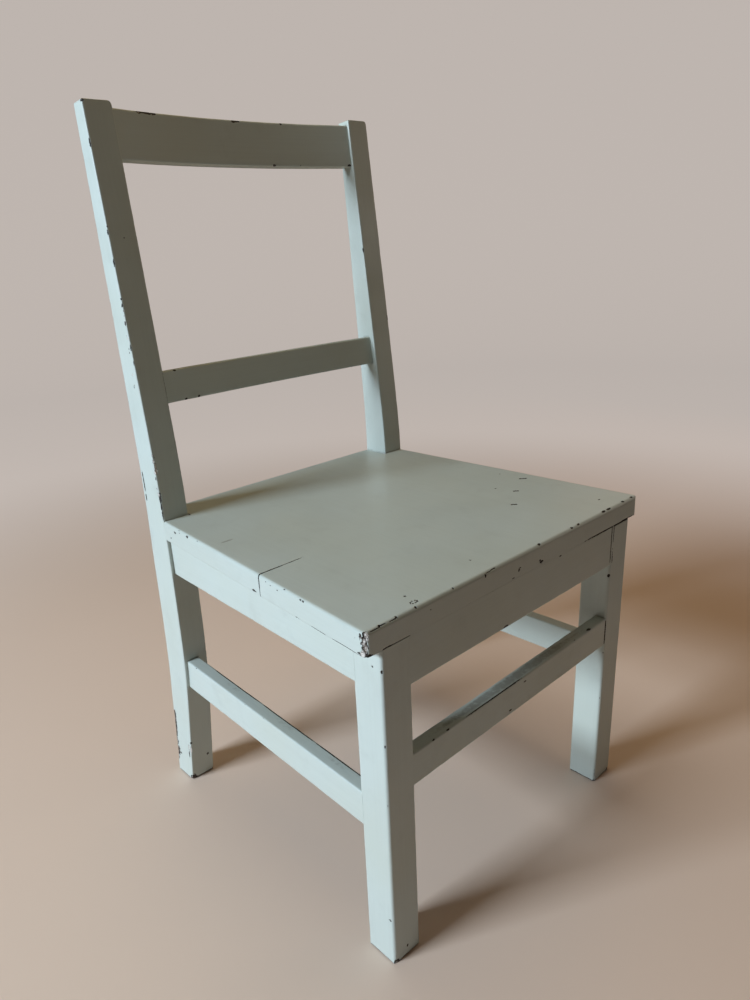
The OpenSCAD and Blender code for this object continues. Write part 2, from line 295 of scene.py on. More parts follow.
def colour(red: int, green: int, blue: int) -> Colour:
    """A paint-chart colour, 0 to 255 a channel, as the renderer's linear colour with full cover."""
    channels = (channel / 255 for channel in (red, green, blue))
    return *(c / 12.92 if c <= 0.04045 else ((c + 0.055) / 1.055) ** 2.4 for c in channels), 1.0


@dataclass(frozen=True)
class OldPaint:
    """Old brushed oil paint over a pale primer over dark stained wood.

    Args:
        name: the material's name.
        top: colour of the paint.
        aged: the colour it has yellowed to in patches.
        primer: the pale coat under the paint.
        stain: the dark coat under the primer.
        timber: the wood under the stain.
        dirt_and_corner_shade: what has settled on it, and the shade painted into corners where parts meet.
        gloss_from: lowest roughness of the paint.
        gloss_to: highest roughness of the paint.
        brush: height of the brush marks in mm.
    """

    name: str
    top: Colour = colour(188, 197, 191)
    aged: Colour = colour(185, 191, 179)
    primer: Colour = colour(212, 205, 197)
    stain: Colour = colour(44, 36, 30)
    timber: Colour = colour(92, 72, 54)
    dirt_and_corner_shade: Colour = colour(92, 82, 66)
    gloss_from: float = 0.34
    gloss_to: float = 0.5
    brush: float = 0.035

    def material(self) -> bpy.types.Material:
        """Builds the paint, its wear, its dirt and the shade painted into its corners.

        Returns:
            The material.
        """
        graph = Graph(self.name)
        place = graph.place()
        fine = graph.noise(place, 900, 3, 0.6)
        ragged = graph.math("MULTIPLY", graph.math("SUBTRACT", fine, 0.5), 1.5)
        depth = graph.math("ADD", graph.attribute("bare"), ragged)
        bare = graph.ramp(depth, 0.0, 0.18)
        brush = graph.noise(graph.grain_coordinates(5, 420), 1, 3, 0.55)
        paint = self.painted(graph, place, brush)
        wood = self.under_paint(graph, place, depth)
        gloss = graph.ramp(graph.noise(place, 14, 3), 0.3, 0.7, self.gloss_from, self.gloss_to)
        rough = graph.math("MAXIMUM", gloss, graph.math("MULTIPLY", bare, 0.8))
        normal = self.relief(graph, place, bare, brush)
        return graph.finish(Base_Color=graph.mix(bare, paint, wood), IOR=1.5, Roughness=rough, Normal=normal)

    def painted(self, graph: Graph, place: Socket, brush: Socket) -> Socket:
        """The paint's colour with age, brush marks, scuffs, dirt and painted shade in the corners where
        parts meet.

        Args:
            graph: the material under way.
            place: object coordinates.
            brush: the brush marks' pattern.

        Returns:
            The colour's socket.
        """
        patches = graph.ramp(graph.noise(place, 5, 4), 0.35, 0.7)
        paint = graph.mix(graph.math("MULTIPLY", patches, 0.6), self.top, self.aged)
        streaks = graph.ramp(brush, 0.35, 0.75, 0.0, 0.035)
        paint = graph.mix(streaks, paint, self.dirt_and_corner_shade)
        handled = graph.ramp(graph.noise(place, 26, 5, 0.65), 0.52, 0.8, 0.0, 0.09)
        paint = graph.mix(handled, paint, self.dirt_and_corner_shade)
        worn = graph.math("MULTIPLY", graph.attribute("arris"), graph.noise(place, 70, 4, 0.7))
        paint = graph.mix(graph.ramp(worn, 0.46, 0.78, 0.0, 0.3), paint, self.dirt_and_corner_shade)
        scuffed = graph.math("MULTIPLY", graph.attribute("scuff"), graph.noise(place, 160, 3, 0.7))
        paint = graph.mix(graph.ramp(scuffed, 0.2, 0.55, 0.0, 0.5), paint, self.dirt_and_corner_shade)
        # Painted shade with some dirt: the paint darkens towards the corners where another part meets it.
        settled = graph.math("MULTIPLY", graph.attribute("joint"), graph.noise(place, 45, 4, 0.6))
        return graph.mix(graph.ramp(settled, 0.18, 0.75, 0.0, 0.6), paint, self.dirt_and_corner_shade)

    def under_paint(self, graph: Graph, place: Socket, depth: Socket) -> Socket:
        """What shows where the paint is off: primer rims, dark stain, and wood in a big chip.

        Args:
            graph: the material under way.
            place: object coordinates.
            depth: how far inside a chip a point is, in mm.

        Returns:
            The colour's socket.
        """
        fibre = graph.noise(graph.grain_coordinates(40, 900), 1, 4, 0.7)
        wood = graph.mix(graph.ramp(fibre, 0.3, 0.7), self.stain, self.timber)
        dark = graph.mix(graph.ramp(depth, 1.1, 2.4), self.stain, wood)
        blotch = graph.noise(place, 560, 4, 0.65)
        patches = graph.math("MULTIPLY", graph.ramp(blotch, 0.54, 0.6), graph.ramp(depth, 0.9, 1.8))
        thin = graph.math("MULTIPLY", graph.ramp(blotch, 0.36, 0.43), graph.attribute("primer"))
        thin = graph.math("MULTIPLY", thin, graph.ramp(depth, 0.08, 0.35))
        return graph.mix(graph.math("MAXIMUM", patches, thin), dark, self.primer)

    def relief(self, graph: Graph, place: Socket, bare: Socket, brush: Socket) -> Socket:
        """Brush marks, the paint's skin and the step at the rim of a chip, in mm.

        Args:
            graph: the material under way.
            place: object coordinates.
            bare: 1 where the paint is off.
            brush: the brush marks' pattern.

        Returns:
            The normal's socket.
        """
        skin = graph.math("MULTIPLY", graph.noise(place, 240, 2), 0.02)
        marks = graph.math("MULTIPLY", brush, self.brush)
        paint = graph.math("ADD", skin, marks)
        return graph.bump(graph.math("SUBTRACT", paint, graph.math("MULTIPLY", bare, 0.22)))


@dataclass(frozen=True)
class BareWood:
    """Unpainted softwood gone brown with age, with a few spots of the paint.

    Args:
        name: the material's name.
        pale: colour of the early wood.
        dark: colour of the late wood.
        dust: colour of the dirt on it.
    """

    name: str
    pale: Colour = colour(168, 134, 96)
    dark: Colour = colour(112, 80, 52)
    dust: Colour = colour(84, 74, 62)

    def material(self) -> bpy.types.Material:
        """Builds the wood.

        Returns:
            The material.
        """
        graph = Graph(self.name)
        turn = {"Vector": graph.place(), "Rotation": (0, 0, math.radians(45)), "Scale": (14, 160, 160)}
        turned = graph.add("Mapping", turn).outputs["Vector"]
        rings = graph.noise(turned, 1, 3, 0.6)
        wood = graph.mix(graph.ramp(rings, 0.36, 0.64), self.pale, self.dark)
        dusty = graph.ramp(graph.noise(graph.place(), 40, 4, 0.6), 0.42, 0.7, 0.1, 0.7)
        saw = graph.bump(graph.noise(turned, 3, 3, 0.7), 0.2 * MM)
        return graph.finish(Base_Color=graph.mix(dusty, wood, self.dust), Roughness=0.78, Normal=saw)


@dataclass(frozen=True)
class RustySteel:
    """Dull steel with brown rust in patches.

    Args:
        name: the material's name.
        clean: colour of the metal.
        rust: colour of the rust.
    """

    name: str
    clean: Colour = colour(142, 136, 128)
    rust: Colour = colour(96, 62, 40)

    def material(self) -> bpy.types.Material:
        """Builds the metal.

        Returns:
            The material.
        """
        graph = Graph(self.name)
        rusty = graph.ramp(graph.noise(graph.place(), 420, 4, 0.65), 0.42, 0.6)
        surface = graph.mix(rusty, self.clean, self.rust)
        metal = graph.math("SUBTRACT", 1.0, rusty)
        rough = graph.ramp(rusty, 0.0, 1.0, 0.42, 0.85)
        pitted = graph.bump(rusty, 0.1 * MM)
        return graph.finish(Base_Color=surface, Metallic=metal, Roughness=rough, Normal=pitted)


@dataclass(frozen=True)
class Backcloth:
    """The plain matt paper of the studio: far from the chair it throws little light back.

    Args:
        name: the material's name.
        tone: its colour near the chair.
        wall: its colour far from it.
        shine: the colour that it has for the camera there.
        glow: how bright the wall looks to the camera, over the light it catches.
    """

    name: str
    tone: Colour = colour(226, 202, 183)
    wall: Colour = colour(112, 95, 82)
    shine: Colour = colour(206, 197, 191)
    glow: float = 0.75

    def material(self) -> bpy.types.Material:
        """Builds the paper.

        Returns:
            The material.
        """
        graph = Graph(self.name)
        flat = graph.add("VectorMath", {0: graph.place(), 1: (1, 1, 0)}, operation="MULTIPLY").outputs[0]
        reach = graph.add("VectorMath", {0: flat}, operation="LENGTH").outputs["Value"]
        mottled = graph.ramp(graph.noise(graph.place(), 1.5, 2), 0.3, 0.7, 0.0, 0.06)
        floor = graph.mix(mottled, self.tone, colour(190, 166, 148))
        surface = graph.mix(graph.ramp(reach, 0.8, 2.1), floor, self.wall)
        seen = graph.add("LightPath").outputs["Is Camera Ray"]
        glow = graph.math("MULTIPLY", seen, graph.ramp(reach, 0.8, 2.1, 0.0, self.glow))
        shine = {"Emission_Color": self.shine, "Emission_Strength": glow}
        return graph.finish(Base_Color=surface, Roughness=0.8, **shine)


# ---------- meshes ----------


@dataclass
class Section:
    """A timber's cross-section at each of its stations, in mm.

    Args:
        low: lowest a and lowest b, one row each.
        high: highest a and highest b, one row each.
        rounding: corner radii at (low, low), (high, low), (low, high), (high, high).
    """

    low: Array
    high: Array
    rounding: Array


@dataclass(frozen=True)
class EndRound:
    """How far an end's four edges are rounded over, in mm: at low a, high a, low b, high b.

    Args:
        low_a: radius on the low side of a.
        high_a: radius on the high side of a.
        low_b: radius on the low side of b.
        high_b: radius on the high side of b.
    """

    low_a: float = 0.0
    high_a: float = 0.0
    low_b: float = 0.0
    high_b: float = 0.0

    def insets(self, distance: Array) -> Array:
        """How far each face has drawn in at that distance from the end.

        Args:
            distance: distances from the end in mm.

        Returns:
            Four rows, one for each face.
        """
        rows = []
        for radius in (self.low_a, self.high_a, self.low_b, self.high_b):
            short = np.clip(radius - distance, 0, None)
            rows.append(radius - np.sqrt(np.clip(radius**2 - short**2, 0, None)))
        return np.array(rows)

    def steps(self) -> list[float]:
        """Distances from the end at which the rounding needs a station.

        Returns:
            The distances in mm, sorted.
        """
        radii = {r for r in (self.low_a, self.high_a, self.low_b, self.high_b) if r > 0}
        angles = [math.radians(a) for a in (0, 22.5, 45, 67.5, 90)]
        return sorted({round(r * (1 - math.cos(a)), 3) for r in radii for a in angles})


class BoxSkin:
    """The outer skin of a box cut into cells: numbered points, and faces that turn outwards."""

    def __init__(self, cells_a: int, cells_b: int, cells_along: int) -> None:
        """Numbers the points of the skin.

        Args:
            cells_a: cells across, in a.
            cells_b: cells across, in b.
            cells_along: cells from end to end.
        """
        shape = (cells_a + 1, cells_b + 1, cells_along + 1)
        outer = np.ones(shape, bool)
        outer[1:-1, 1:-1, 1:-1] = False
        self.points = np.argwhere(outer)
        self.number = np.full(shape, -1)
        self.number[outer] = np.arange(len(self.points))

    @staticmethod
    def _quads(grid: Array, outward: bool) -> Array:
        """Faces of one side; its rows and columns turn anticlockwise seen from outside.

        Args:
            grid: the point numbers of the side.
            outward: False if the grid has to be turned round.

        Returns:
            The faces, four point numbers a row.
        """
        corners = [grid[:-1, :-1], grid[1:, :-1], grid[1:, 1:], grid[:-1, 1:]]
        quads = np.stack([c.ravel() for c in corners], axis=1)
        return quads if outward else quads[:, ::-1]

    def faces(self) -> Array:
        """All faces of the skin, four point numbers a row.

        Returns:
            The faces of the six sides.
        """
        n = self.number
        sides = [
            self._quads(n[:, :, -1], True),
            self._quads(n[:, :, 0], False),
            self._quads(n[-1], True),
            self._quads(n[0], False),
            self._quads(n[:, -1, :].T, True),
            self._quads(n[:, 0, :].T, False),
        ]
        return np.concatenate(sides)


def run_along(low: Array, high: Array, round_low: Array, round_high: Array, shares: Array) -> Pair:
    """Lays the points of one side of a section, from corner to corner.

    Args:
        low: where the side starts, at each station.
        high: where it ends.
        round_low: radius of its first corner.
        round_high: radius of its last corner.
        shares: each point's share of the flat between the corners, a row for each point.

    Returns:
        Each point's place along the side, and how far the corner drops it from the side.
    """
    place = (low + round_low) + shares * ((high - round_high) - (low + round_low))
    drop = np.zeros_like(place)
    for step in range(CORNER_CELLS + 1):
        angle = math.pi / 4 * (1 + step / CORNER_CELLS)
        place[step] = low + round_low * (1 - math.cos(angle))
        drop[step] = round_low * (1 - math.sin(angle))
        place[-1 - step] = high - round_high * (1 - math.cos(angle))
        drop[-1 - step] = round_high * (1 - math.sin(angle))
    return place, drop


def fill_end(grid: Array) -> None:
    """Fills the inside of an end face from its four sides.

    Args:
        grid: one coordinate over the end's points, filled in place.
    """
    u = np.linspace(0, 1, grid.shape[0])[:, None]
    v = np.linspace(0, 1, grid.shape[1])[None, :]
    first, last = grid[:1], grid[-1:]
    left, right = grid[:, :1], grid[:, -1:]
    corners = (
        (1 - u) * (1 - v) * grid[0, 0]
        + u * (1 - v) * grid[-1, 0]
        + (1 - u) * v * grid[0, -1]
        + u * v * grid[-1, -1]
    )
    filled = (1 - v) * left + v * right + (1 - u) * first + u * last - corners
    grid[1:-1, 1:-1] = filled[1:-1, 1:-1]


@dataclass
class Timber(ABC):
    """A painted wooden part: its own mesh, worn and dressed.

    Args:
        name: the piece's name, the same as its CAD node's.
        slot: its material slot, which picks its paint.
        marks: damage laid down one by one.
        nicks: how many small nicks wear its arrises at random.
        cell: side of a mesh cell in mm.
        arris: radius of its long edges in mm.
        AXES: the chair's axis that each of along, a and b runs closest to.
    """

    name: str
    slot: str = "painted_frame"
    marks: list[Mark] = field(default_factory=list)
    nicks: int = 14
    cell: float = 2.2
    arris: float = 2.0
    AXES: ClassVar[tuple[int, int, int]] = (0, 1, 2)

    @abstractmethod
    def span(self) -> tuple[float, float]:
        """Where the timber starts and ends, in mm along it."""

    @abstractmethod
    def half_sizes(self, along: Array) -> Pair:
        """Half its size in a and in b.

        Args:
            along: places along the timber.

        Returns:
            The two half sizes at each place.
        """

    @staticmethod
    def even(along: Array, size_a: float, size_b: float) -> Pair:
        """The two half sizes of a timber that is as wide and deep all along."""
        return np.full(len(along), size_a / 2), np.full(len(along), size_b / 2)

    @abstractmethod
    def place(self, along: Array, a: Array, b: Array) -> Array:
        """Carries the timber's own coordinates to the chair.

        Args:
            along: distance along the timber.
            a: distance across it.
            b: distance across it, the other way.

        Returns:
            The same points in the chair's frame in mm, one a row.
        """

    def ends(self) -> tuple[EndRound, EndRound]:
        """How the two ends are rounded; an end inside a joint is left square."""
        return EndRound(), EndRound()

    def rounding(self, along: Array) -> Array:
        """Corner radii along the timber, four rows."""
        return np.full((4, len(along)), self.arris)

    def stations(self) -> Array:
        """Places along the timber at which its mesh has a ring of points.

        Returns:
            The places in mm, sorted.
        """
        start, finish = self.span()
        near, far = self.ends()
        first = start + max([0.0, *near.steps()])
        last = finish - max([0.0, *far.steps()])
        count = max(2, round((last - first) / self.cell))
        places = [start + d for d in near.steps()]
        places += list(np.linspace(first, last, count + 1))
        places += [finish - d for d in far.steps()]
        return np.unique(np.round(places, 3))

    def shares(self, size: float, stations: Array, in_b: bool) -> Array:
        """Where the mesh lines lie across a side, as shares of its flat part.

        Args:
            size: the side's size in mm.
            stations: places along the timber.
            in_b: True for the lines that are spread in b.

        Returns:
            One row for each line, one column for each station.
        """
        inner = max(2, round(size / self.cell))
        edge = [0.0] * CORNER_CELLS
        line = np.array([*edge, *np.linspace(0, 1, inner + 1), *[1.0] * CORNER_CELLS])
        return np.repeat(line[:, None], len(stations), axis=1)

    def section(self, stations: Array) -> Section:
        """The cross-section at each station, drawn in towards rounded ends.

        Args:
            stations: places along the timber.

        Returns:
            Its bounds and the radius of its corners.
        """
        half_a, half_b = self.half_sizes(stations)
        start, finish = self.span()
        near, far = self.ends()
        inset = near.insets(stations - start) + far.insets(finish - stations)
        radii = self.rounding(stations)
        drawn_in = np.array([
            np.maximum(inset[0], inset[2]),
            np.maximum(inset[1], inset[2]),
            np.maximum(inset[0], inset[3]),
            np.maximum(inset[1], inset[3]),
        ])
        return Section(
            np.array([-half_a + inset[0], -half_b + inset[2]]),
            np.array([half_a - inset[1], half_b - inset[3]]),
            np.maximum(radii - drawn_in, 0.04 * radii),
        )

    def base_points(self) -> Pair:
        """The timber's plain shape.

        Returns:
            Its points in its own coordinates, and its faces.
        """
        stations = self.stations()
        cut = self.section(stations)
        size_a = float((cut.high[0] - cut.low[0]).max())
        size_b = float((cut.high[1] - cut.low[1]).max())
        share_a = self.shares(size_a, stations, False)
        share_b = self.shares(size_b, stations, True)
        shape = (len(share_a), len(share_b), len(stations))
        a, b = np.zeros(shape), np.zeros(shape)
        r = cut.rounding
        a[:, 0], drop = run_along(cut.low[0], cut.high[0], r[0], r[1], share_a)
        b[:, 0] = cut.low[1] + drop
        a[:, -1], drop = run_along(cut.low[0], cut.high[0], r[2], r[3], share_a)
        b[:, -1] = cut.high[1] - drop
        b[0], drop = run_along(cut.low[1], cut.high[1], r[0], r[2], share_b)
        a[0] = cut.low[0] + drop
        b[-1], drop = run_along(cut.low[1], cut.high[1], r[1], r[3], share_b)
        a[-1] = cut.high[0] - drop
        for grid in (a, b):
            fill_end(grid[:, :, 0])
            fill_end(grid[:, :, -1])
        skin = BoxSkin(shape[0] - 1, shape[1] - 1, shape[2] - 1)
        i, j, k = skin.points.T
        return np.stack([stations[k], a[i, j, k], b[i, j, k]], axis=1), skin.faces()

    def edge_distance(self, own: Array) -> Array:
        """Distance of each point from the nearest arris, in mm.

        Args:
            own: points in the timber's own coordinates.

        Returns:
            One distance for each point.
        """
        half_a, half_b = self.half_sizes(own[:, 0])
        from_a = half_a - np.abs(own[:, 1])
        from_b = half_b - np.abs(own[:, 2])
        start, finish = self.span()
        near, far = self.ends()
        from_end = np.full(len(own), 1e3)
        if near.steps():
            from_end = np.minimum(from_end, own[:, 0] - start)
        if far.steps():
            from_end = np.minimum(from_end, finish - own[:, 0])
        return np.sort(np.stack([from_a, from_b, from_end]), axis=0)[1]

    def random_nicks(self, random: np.random.Generator) -> list[Mark]:
        """Small nicks along the four long arrises, spread at random from end to end.

        Args:
            random: the source of random numbers.

        Returns:
            The nicks.
        """
        start, finish = self.span()
        marks = []
        for _ in range(self.nicks):
            along = start + (finish - start) * random.uniform(0.01, 0.99)
            half_a, half_b = (float(h[0]) for h in self.half_sizes(np.array([along])))
            sign_a, sign_b = random.choice([-1, 1], 2)
            size = 0.5 + 0.9 * random.uniform() ** 2
            length = size * random.uniform(0.8, 3.2)
            slide = random.uniform(0, 1.6)
            a = sign_a * (half_a - slide * (random.uniform() < 0.5))
            b = sign_b * (half_b - slide * (random.uniform() < 0.5))
            marks.append(Mark((along, a, b), (length, size, size), 0.3))
        return marks


# ---------- the chair's timbers ----------


@dataclass
class FrontLeg(Timber):
    """A square front leg that leans a little in and back towards its foot.

    Args:
        side: which leg it is.
        lean_in: how far its foot stands inside its top.
        lean_back: how far its foot stands behind its top.
    """

    side: Side = Side.LEFT
    lean_in: float = 2.0
    lean_back: float = 4.5
    AXES: ClassVar[tuple[int, int, int]] = (2, 0, 1)

    def __post_init__(self) -> None:
        """Takes the leg's size from the frame."""
        low, high = (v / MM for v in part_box(self.name))
        self.height = high.z
        self.width = high.x - low.x - self.lean_in
        self.depth = high.y - low.y - self.lean_back
        self.front = low.y
        self.outer = high.x if self.side is Side.RIGHT else -low.x

    def outer_at(self, z: Number) -> Number:
        """Distance of the outer face from the chair's middle at height z."""
        return self.outer - self.lean_in * (self.height - z) / self.height

    def front_at(self, z: Number) -> Number:
        """Place of the front face at height z."""
        return self.front + self.lean_back * (self.height - z) / self.height

    def span(self) -> tuple[float, float]:
        """From the floor to the underside of the seat."""
        return 0.0, self.height

    def ends(self) -> tuple[EndRound, EndRound]:
        """The foot's edges are worn round; the top is under the seat."""
        return EndRound(0.9, 0.9, 0.9, 0.9), EndRound()

    def half_sizes(self, along: Array) -> Pair:
        """The leg is the same size all the way down."""
        return self.even(along, self.width, self.depth)

    def place(self, along: Array, a: Array, b: Array) -> Array:
        """a runs to the chair's right and b to its back.

        Args:
            along: distance along the timber.
            a: distance across it.
            b: distance across it, the other way.

        Returns:
            The points in the chair's frame in mm, one a row.
        """
        x = self.side.value * (self.outer_at(along) - self.width / 2) + a
        y = self.front_at(along) + self.depth / 2 + b
        return np.stack([x, y, along], axis=1)


@dataclass
class BackPost(Timber):
    """A back leg and upright sawn as one piece: splayed foot, raked and tapered top.

    Args:
        side: which post it is.
        depth_foot: its depth at the floor.
        depth_waist: its depth below the seat.
        depth_top: its depth at the top.
        splay: angle at which the foot runs back.
        splay_start: height where that starts.
        rake: angle at which the upper part leans back.
        rake_over_seat: height of that bend over the seat.
        bend: length over which each bend is eased.
        corner_left: rounding of the top's left corner.
        corner_right: rounding of its right corner.
    """

    side: Side = Side.LEFT
    depth_foot: float = 39.0
    depth_waist: float = 48.0
    depth_top: float = 22.0
    splay: float = math.radians(8.8)
    splay_start: float = 200.0
    rake: float = math.radians(6.1)
    rake_over_seat: float = 30.0
    bend: float = 50.0
    corner_left: float = 2.0
    corner_right: float = 6.5
    AXES: ClassVar[tuple[int, int, int]] = (2, 0, 1)

    def __post_init__(self) -> None:
        """Takes the post's place and height from the frame."""
        low, high = (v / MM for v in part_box(self.name))
        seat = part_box("seat_board_back")[1] / MM
        self.height = high.z
        self.width = high.x - low.x
        self.middle = (high.x + low.x) / 2
        self.outer = max(high.x, -low.x)
        self.seat_top = seat.z
        self.rake_start = self.seat_top + self.rake_over_seat
        self.front_at_seat = seat.y - float(self.depth_at(self.seat_top))

    def depth_at(self, z: Number) -> Number:
        """Depth of the post at height z.

        Args:
            z: height, or heights, in mm.

        Returns:
            The depth there, front to back.
        """
        taper_up = self.rake_start - 2 * self.bend
        taper_down = self.splay_start - self.bend
        up = eased_ramp(z - taper_up, self.bend) / eased_ramp(self.height - taper_up, self.bend)
        down = eased_ramp(taper_down - z, self.bend) / eased_ramp(taper_down, self.bend)
        return (
            self.depth_waist
            - (self.depth_waist - self.depth_top) * up
            - (self.depth_waist - self.depth_foot) * down
        )

    def bend_at(self, z: Number) -> Number:
        """How far the two bends carry the post back at height z."""
        upper = math.tan(self.rake) * eased_ramp(z - self.rake_start, self.bend)
        return upper + math.tan(self.splay) * eased_ramp(self.splay_start - z, self.bend)

    def front_at(self, z: Number) -> Number:
        """Place of the front face at height z."""
        return self.front_at_seat + self.bend_at(z) - self.bend_at(self.seat_top)

    def back_at(self, z: Number) -> Number:
        """Place of the back face at height z."""
        return self.front_at(z) + self.depth_at(z)

    def slice_at(self, along: Array) -> Pair:
        """Front and back point of the slice at a place; the top is cut square to the rake.

        Args:
            along: places along the timber.

        Returns:
            The front points and the back points, each as a row of y and a row of z.
        """
        drop = self.depth_top * math.tan(self.rake) / self.height
        back_z = along * (1 - drop)
        front = np.stack([self.front_at(along), along])
        back = np.stack([self.back_at(back_z), back_z])
        return front, back

    def span(self) -> tuple[float, float]:
        """From the floor to the top."""
        return 0.0, self.height

    def ends(self) -> tuple[EndRound, EndRound]:
        """Worn edges at the foot, rounded corners at the top."""
        foot = EndRound(0.9, 0.9, 0.9, 0.9)
        return foot, EndRound(self.corner_left, self.corner_right, 1.0, 1.2)

    def half_sizes(self, along: Array) -> Pair:
        """Even width, tapering depth."""
        front, back = self.slice_at(along)
        return np.full(len(along), self.width / 2), np.hypot(*(back - front)) / 2

    def place(self, along: Array, a: Array, b: Array) -> Array:
        """a runs to the chair's right and b to its back.

        Args:
            along: distance along the timber.
            a: distance across it.
            b: distance across it, the other way.

        Returns:
            The points in the chair's frame in mm, one a row.
        """
        front, back = self.slice_at(along)
        reach = np.hypot(*(back - front))
        y, z = (front + back) / 2 + (back - front) / reach * b
        return np.stack([self.middle + a, y, z], axis=1)


@dataclass
class SidePiece(Timber):
    """A side apron or side stretcher, flush with its leg and set back on its post.

    Args:
        side: which side it is on.
        leg: the leg it starts from.
        post: the post it ends at.
        thickness: its thickness.
        setback: how far it lies inside the outer face of the post.
        into_leg: how far it runs on into the leg.
        into_post: how far it runs on into the post.
    """

    side: Side = Side.LEFT
    leg: FrontLeg | None = None
    post: BackPost | None = None
    thickness: float = 14.0
    setback: float = 5.0
    into_leg: float = 3.1
    into_post: float = 5.0
    AXES: ClassVar[tuple[int, int, int]] = (1, 2, 0)

    def __post_init__(self) -> None:
        """Takes its height and place from the frame."""
        low, high = (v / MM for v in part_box(self.name))
        self.bottom, self.top = low.z, high.z
        self.level = (low.z + high.z) / 2
        self.start_y = float(self.leg.front_at(self.level)) + self.leg.depth
        self.length = float(self.post.front_at(self.level)) - self.start_y

    def span(self) -> tuple[float, float]:
        """From just inside the leg's rounded arris to inside the post."""
        return -self.into_leg, self.length + self.into_post

    def half_sizes(self, along: Array) -> Pair:
        """Height in a, thickness in b."""
        return self.even(along, self.top - self.bottom, self.thickness)

    def place(self, along: Array, a: Array, b: Array) -> Array:
        """a runs up and b to the chair's right.

        Args:
            along: distance along the timber.
            a: distance across it.
            b: distance across it, the other way.

        Returns:
            The points in the chair's frame in mm, one a row.
        """
        z = self.level + a
        flush = self.leg.outer_at(z) - FLUSH_STEP
        outer = flush + (self.post.outer - self.setback - flush) * along / self.length
        x = self.side.value * (outer - self.thickness / 2) + b
        return np.stack([x, self.start_y + along, z], axis=1)


@dataclass
class FrontPiece(Timber):
    """The front apron or front stretcher, flush with the front of both legs.

    Args:
        leg: the left leg; the right one mirrors it.
        height: its height.
        thickness: its thickness.
        rise: how much higher its right end is than its left.
        top_arris: radius of its upper edges.
        bridged: True if paint fills its joint with the seat, but for the two ends.
        into_leg: how far it runs on into each leg.
    """

    # Where the paint that fills the joint fades in and out along it, and how far down it reaches.
    FILLED = ((-190.0, -168.0), (108.0, 130.0))
    FILLED_DEPTH = 14

    leg: FrontLeg | None = None
    height: float = 50.0
    thickness: float = 20.0
    rise: float = 0.0
    top_arris: float = 2.0
    bridged: bool = False
    into_leg: float = 3.1

    def __post_init__(self) -> None:
        """Takes its level from the frame."""
        low, high = (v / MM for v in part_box(self.name))
        self.level = (low.z + high.z) / 2
        self.half_length = float(self.leg.outer_at(self.level)) - self.leg.width
        self.step = self.leg.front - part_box("seat_board_front")[0].y / MM if self.bridged else 0.0

    def span(self) -> tuple[float, float]:
        """From leg to leg, counted from the middle."""
        reach = self.half_length + self.into_leg
        return -reach, reach

    def half_sizes(self, along: Array) -> Pair:
        """Thickness in a, height in b."""
        return self.even(along, self.thickness, self.height)

    def rounding(self, along: Array) -> Array:
        """The upper edges have a radius of their own.

        Args:
            along: places along the timber.

        Returns:
            Four rows of radii, one for each long edge.
        """
        radii = super().rounding(along)
        radii[2:] = self.top_arris
        return radii

    def place(self, along: Array, a: Array, b: Array) -> Array:
        """a runs to the back and b up.

        Args:
            along: distance along the timber.
            a: distance across it.
            b: distance across it, the other way.

        Returns:
            The points in the chair's frame in mm, one a row.
        """
        z = self.level + b + self.rise * along / (2 * self.half_length)
        y = self.leg.front_at(z) + FLUSH_STEP + self.thickness / 2 + a
        (left, right), (stop, end) = self.FILLED
        filled = smooth_step(along, left, right) * (1 - smooth_step(along, stop, end))
        y = y - self.step * filled * smooth_step(b, self.height / 2 - self.FILLED_DEPTH, self.height / 2)
        return np.stack([along, y, z], axis=1)

    def edge_distance(self, own: Array) -> Array:
        """The upper arrises don't wear where paint bridges them to the seat."""
        distance = super().edge_distance(own)
        return np.where(self.bridged & (own[:, 2] > 0), self.height, distance)


@dataclass
class BackApron(Timber):
    """The apron under the back of the seat, between the posts.

    Args:
        post: the right post.
        into_post: how far it runs on into each post.
    """

    post: BackPost | None = None
    into_post: float = 4.0

    def __post_init__(self) -> None:
        """Takes its size and place from the frame."""
        self.low, self.high = (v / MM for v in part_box(self.name))
        self.half_length = self.post.outer - self.post.width

    def span(self) -> tuple[float, float]:
        """From inside one post to inside the other."""
        reach = self.half_length + self.into_post
        return -reach, reach

    def half_sizes(self, along: Array) -> Pair:
        """Thickness in a, height in b."""
        size = self.high - self.low
        return self.even(along, size.y, size.z)

    def place(self, along: Array, a: Array, b: Array) -> Array:
        """a runs to the back and b up."""
        middle = (self.low + self.high) / 2
        return np.stack([along, middle.y + a, middle.z + b], axis=1)


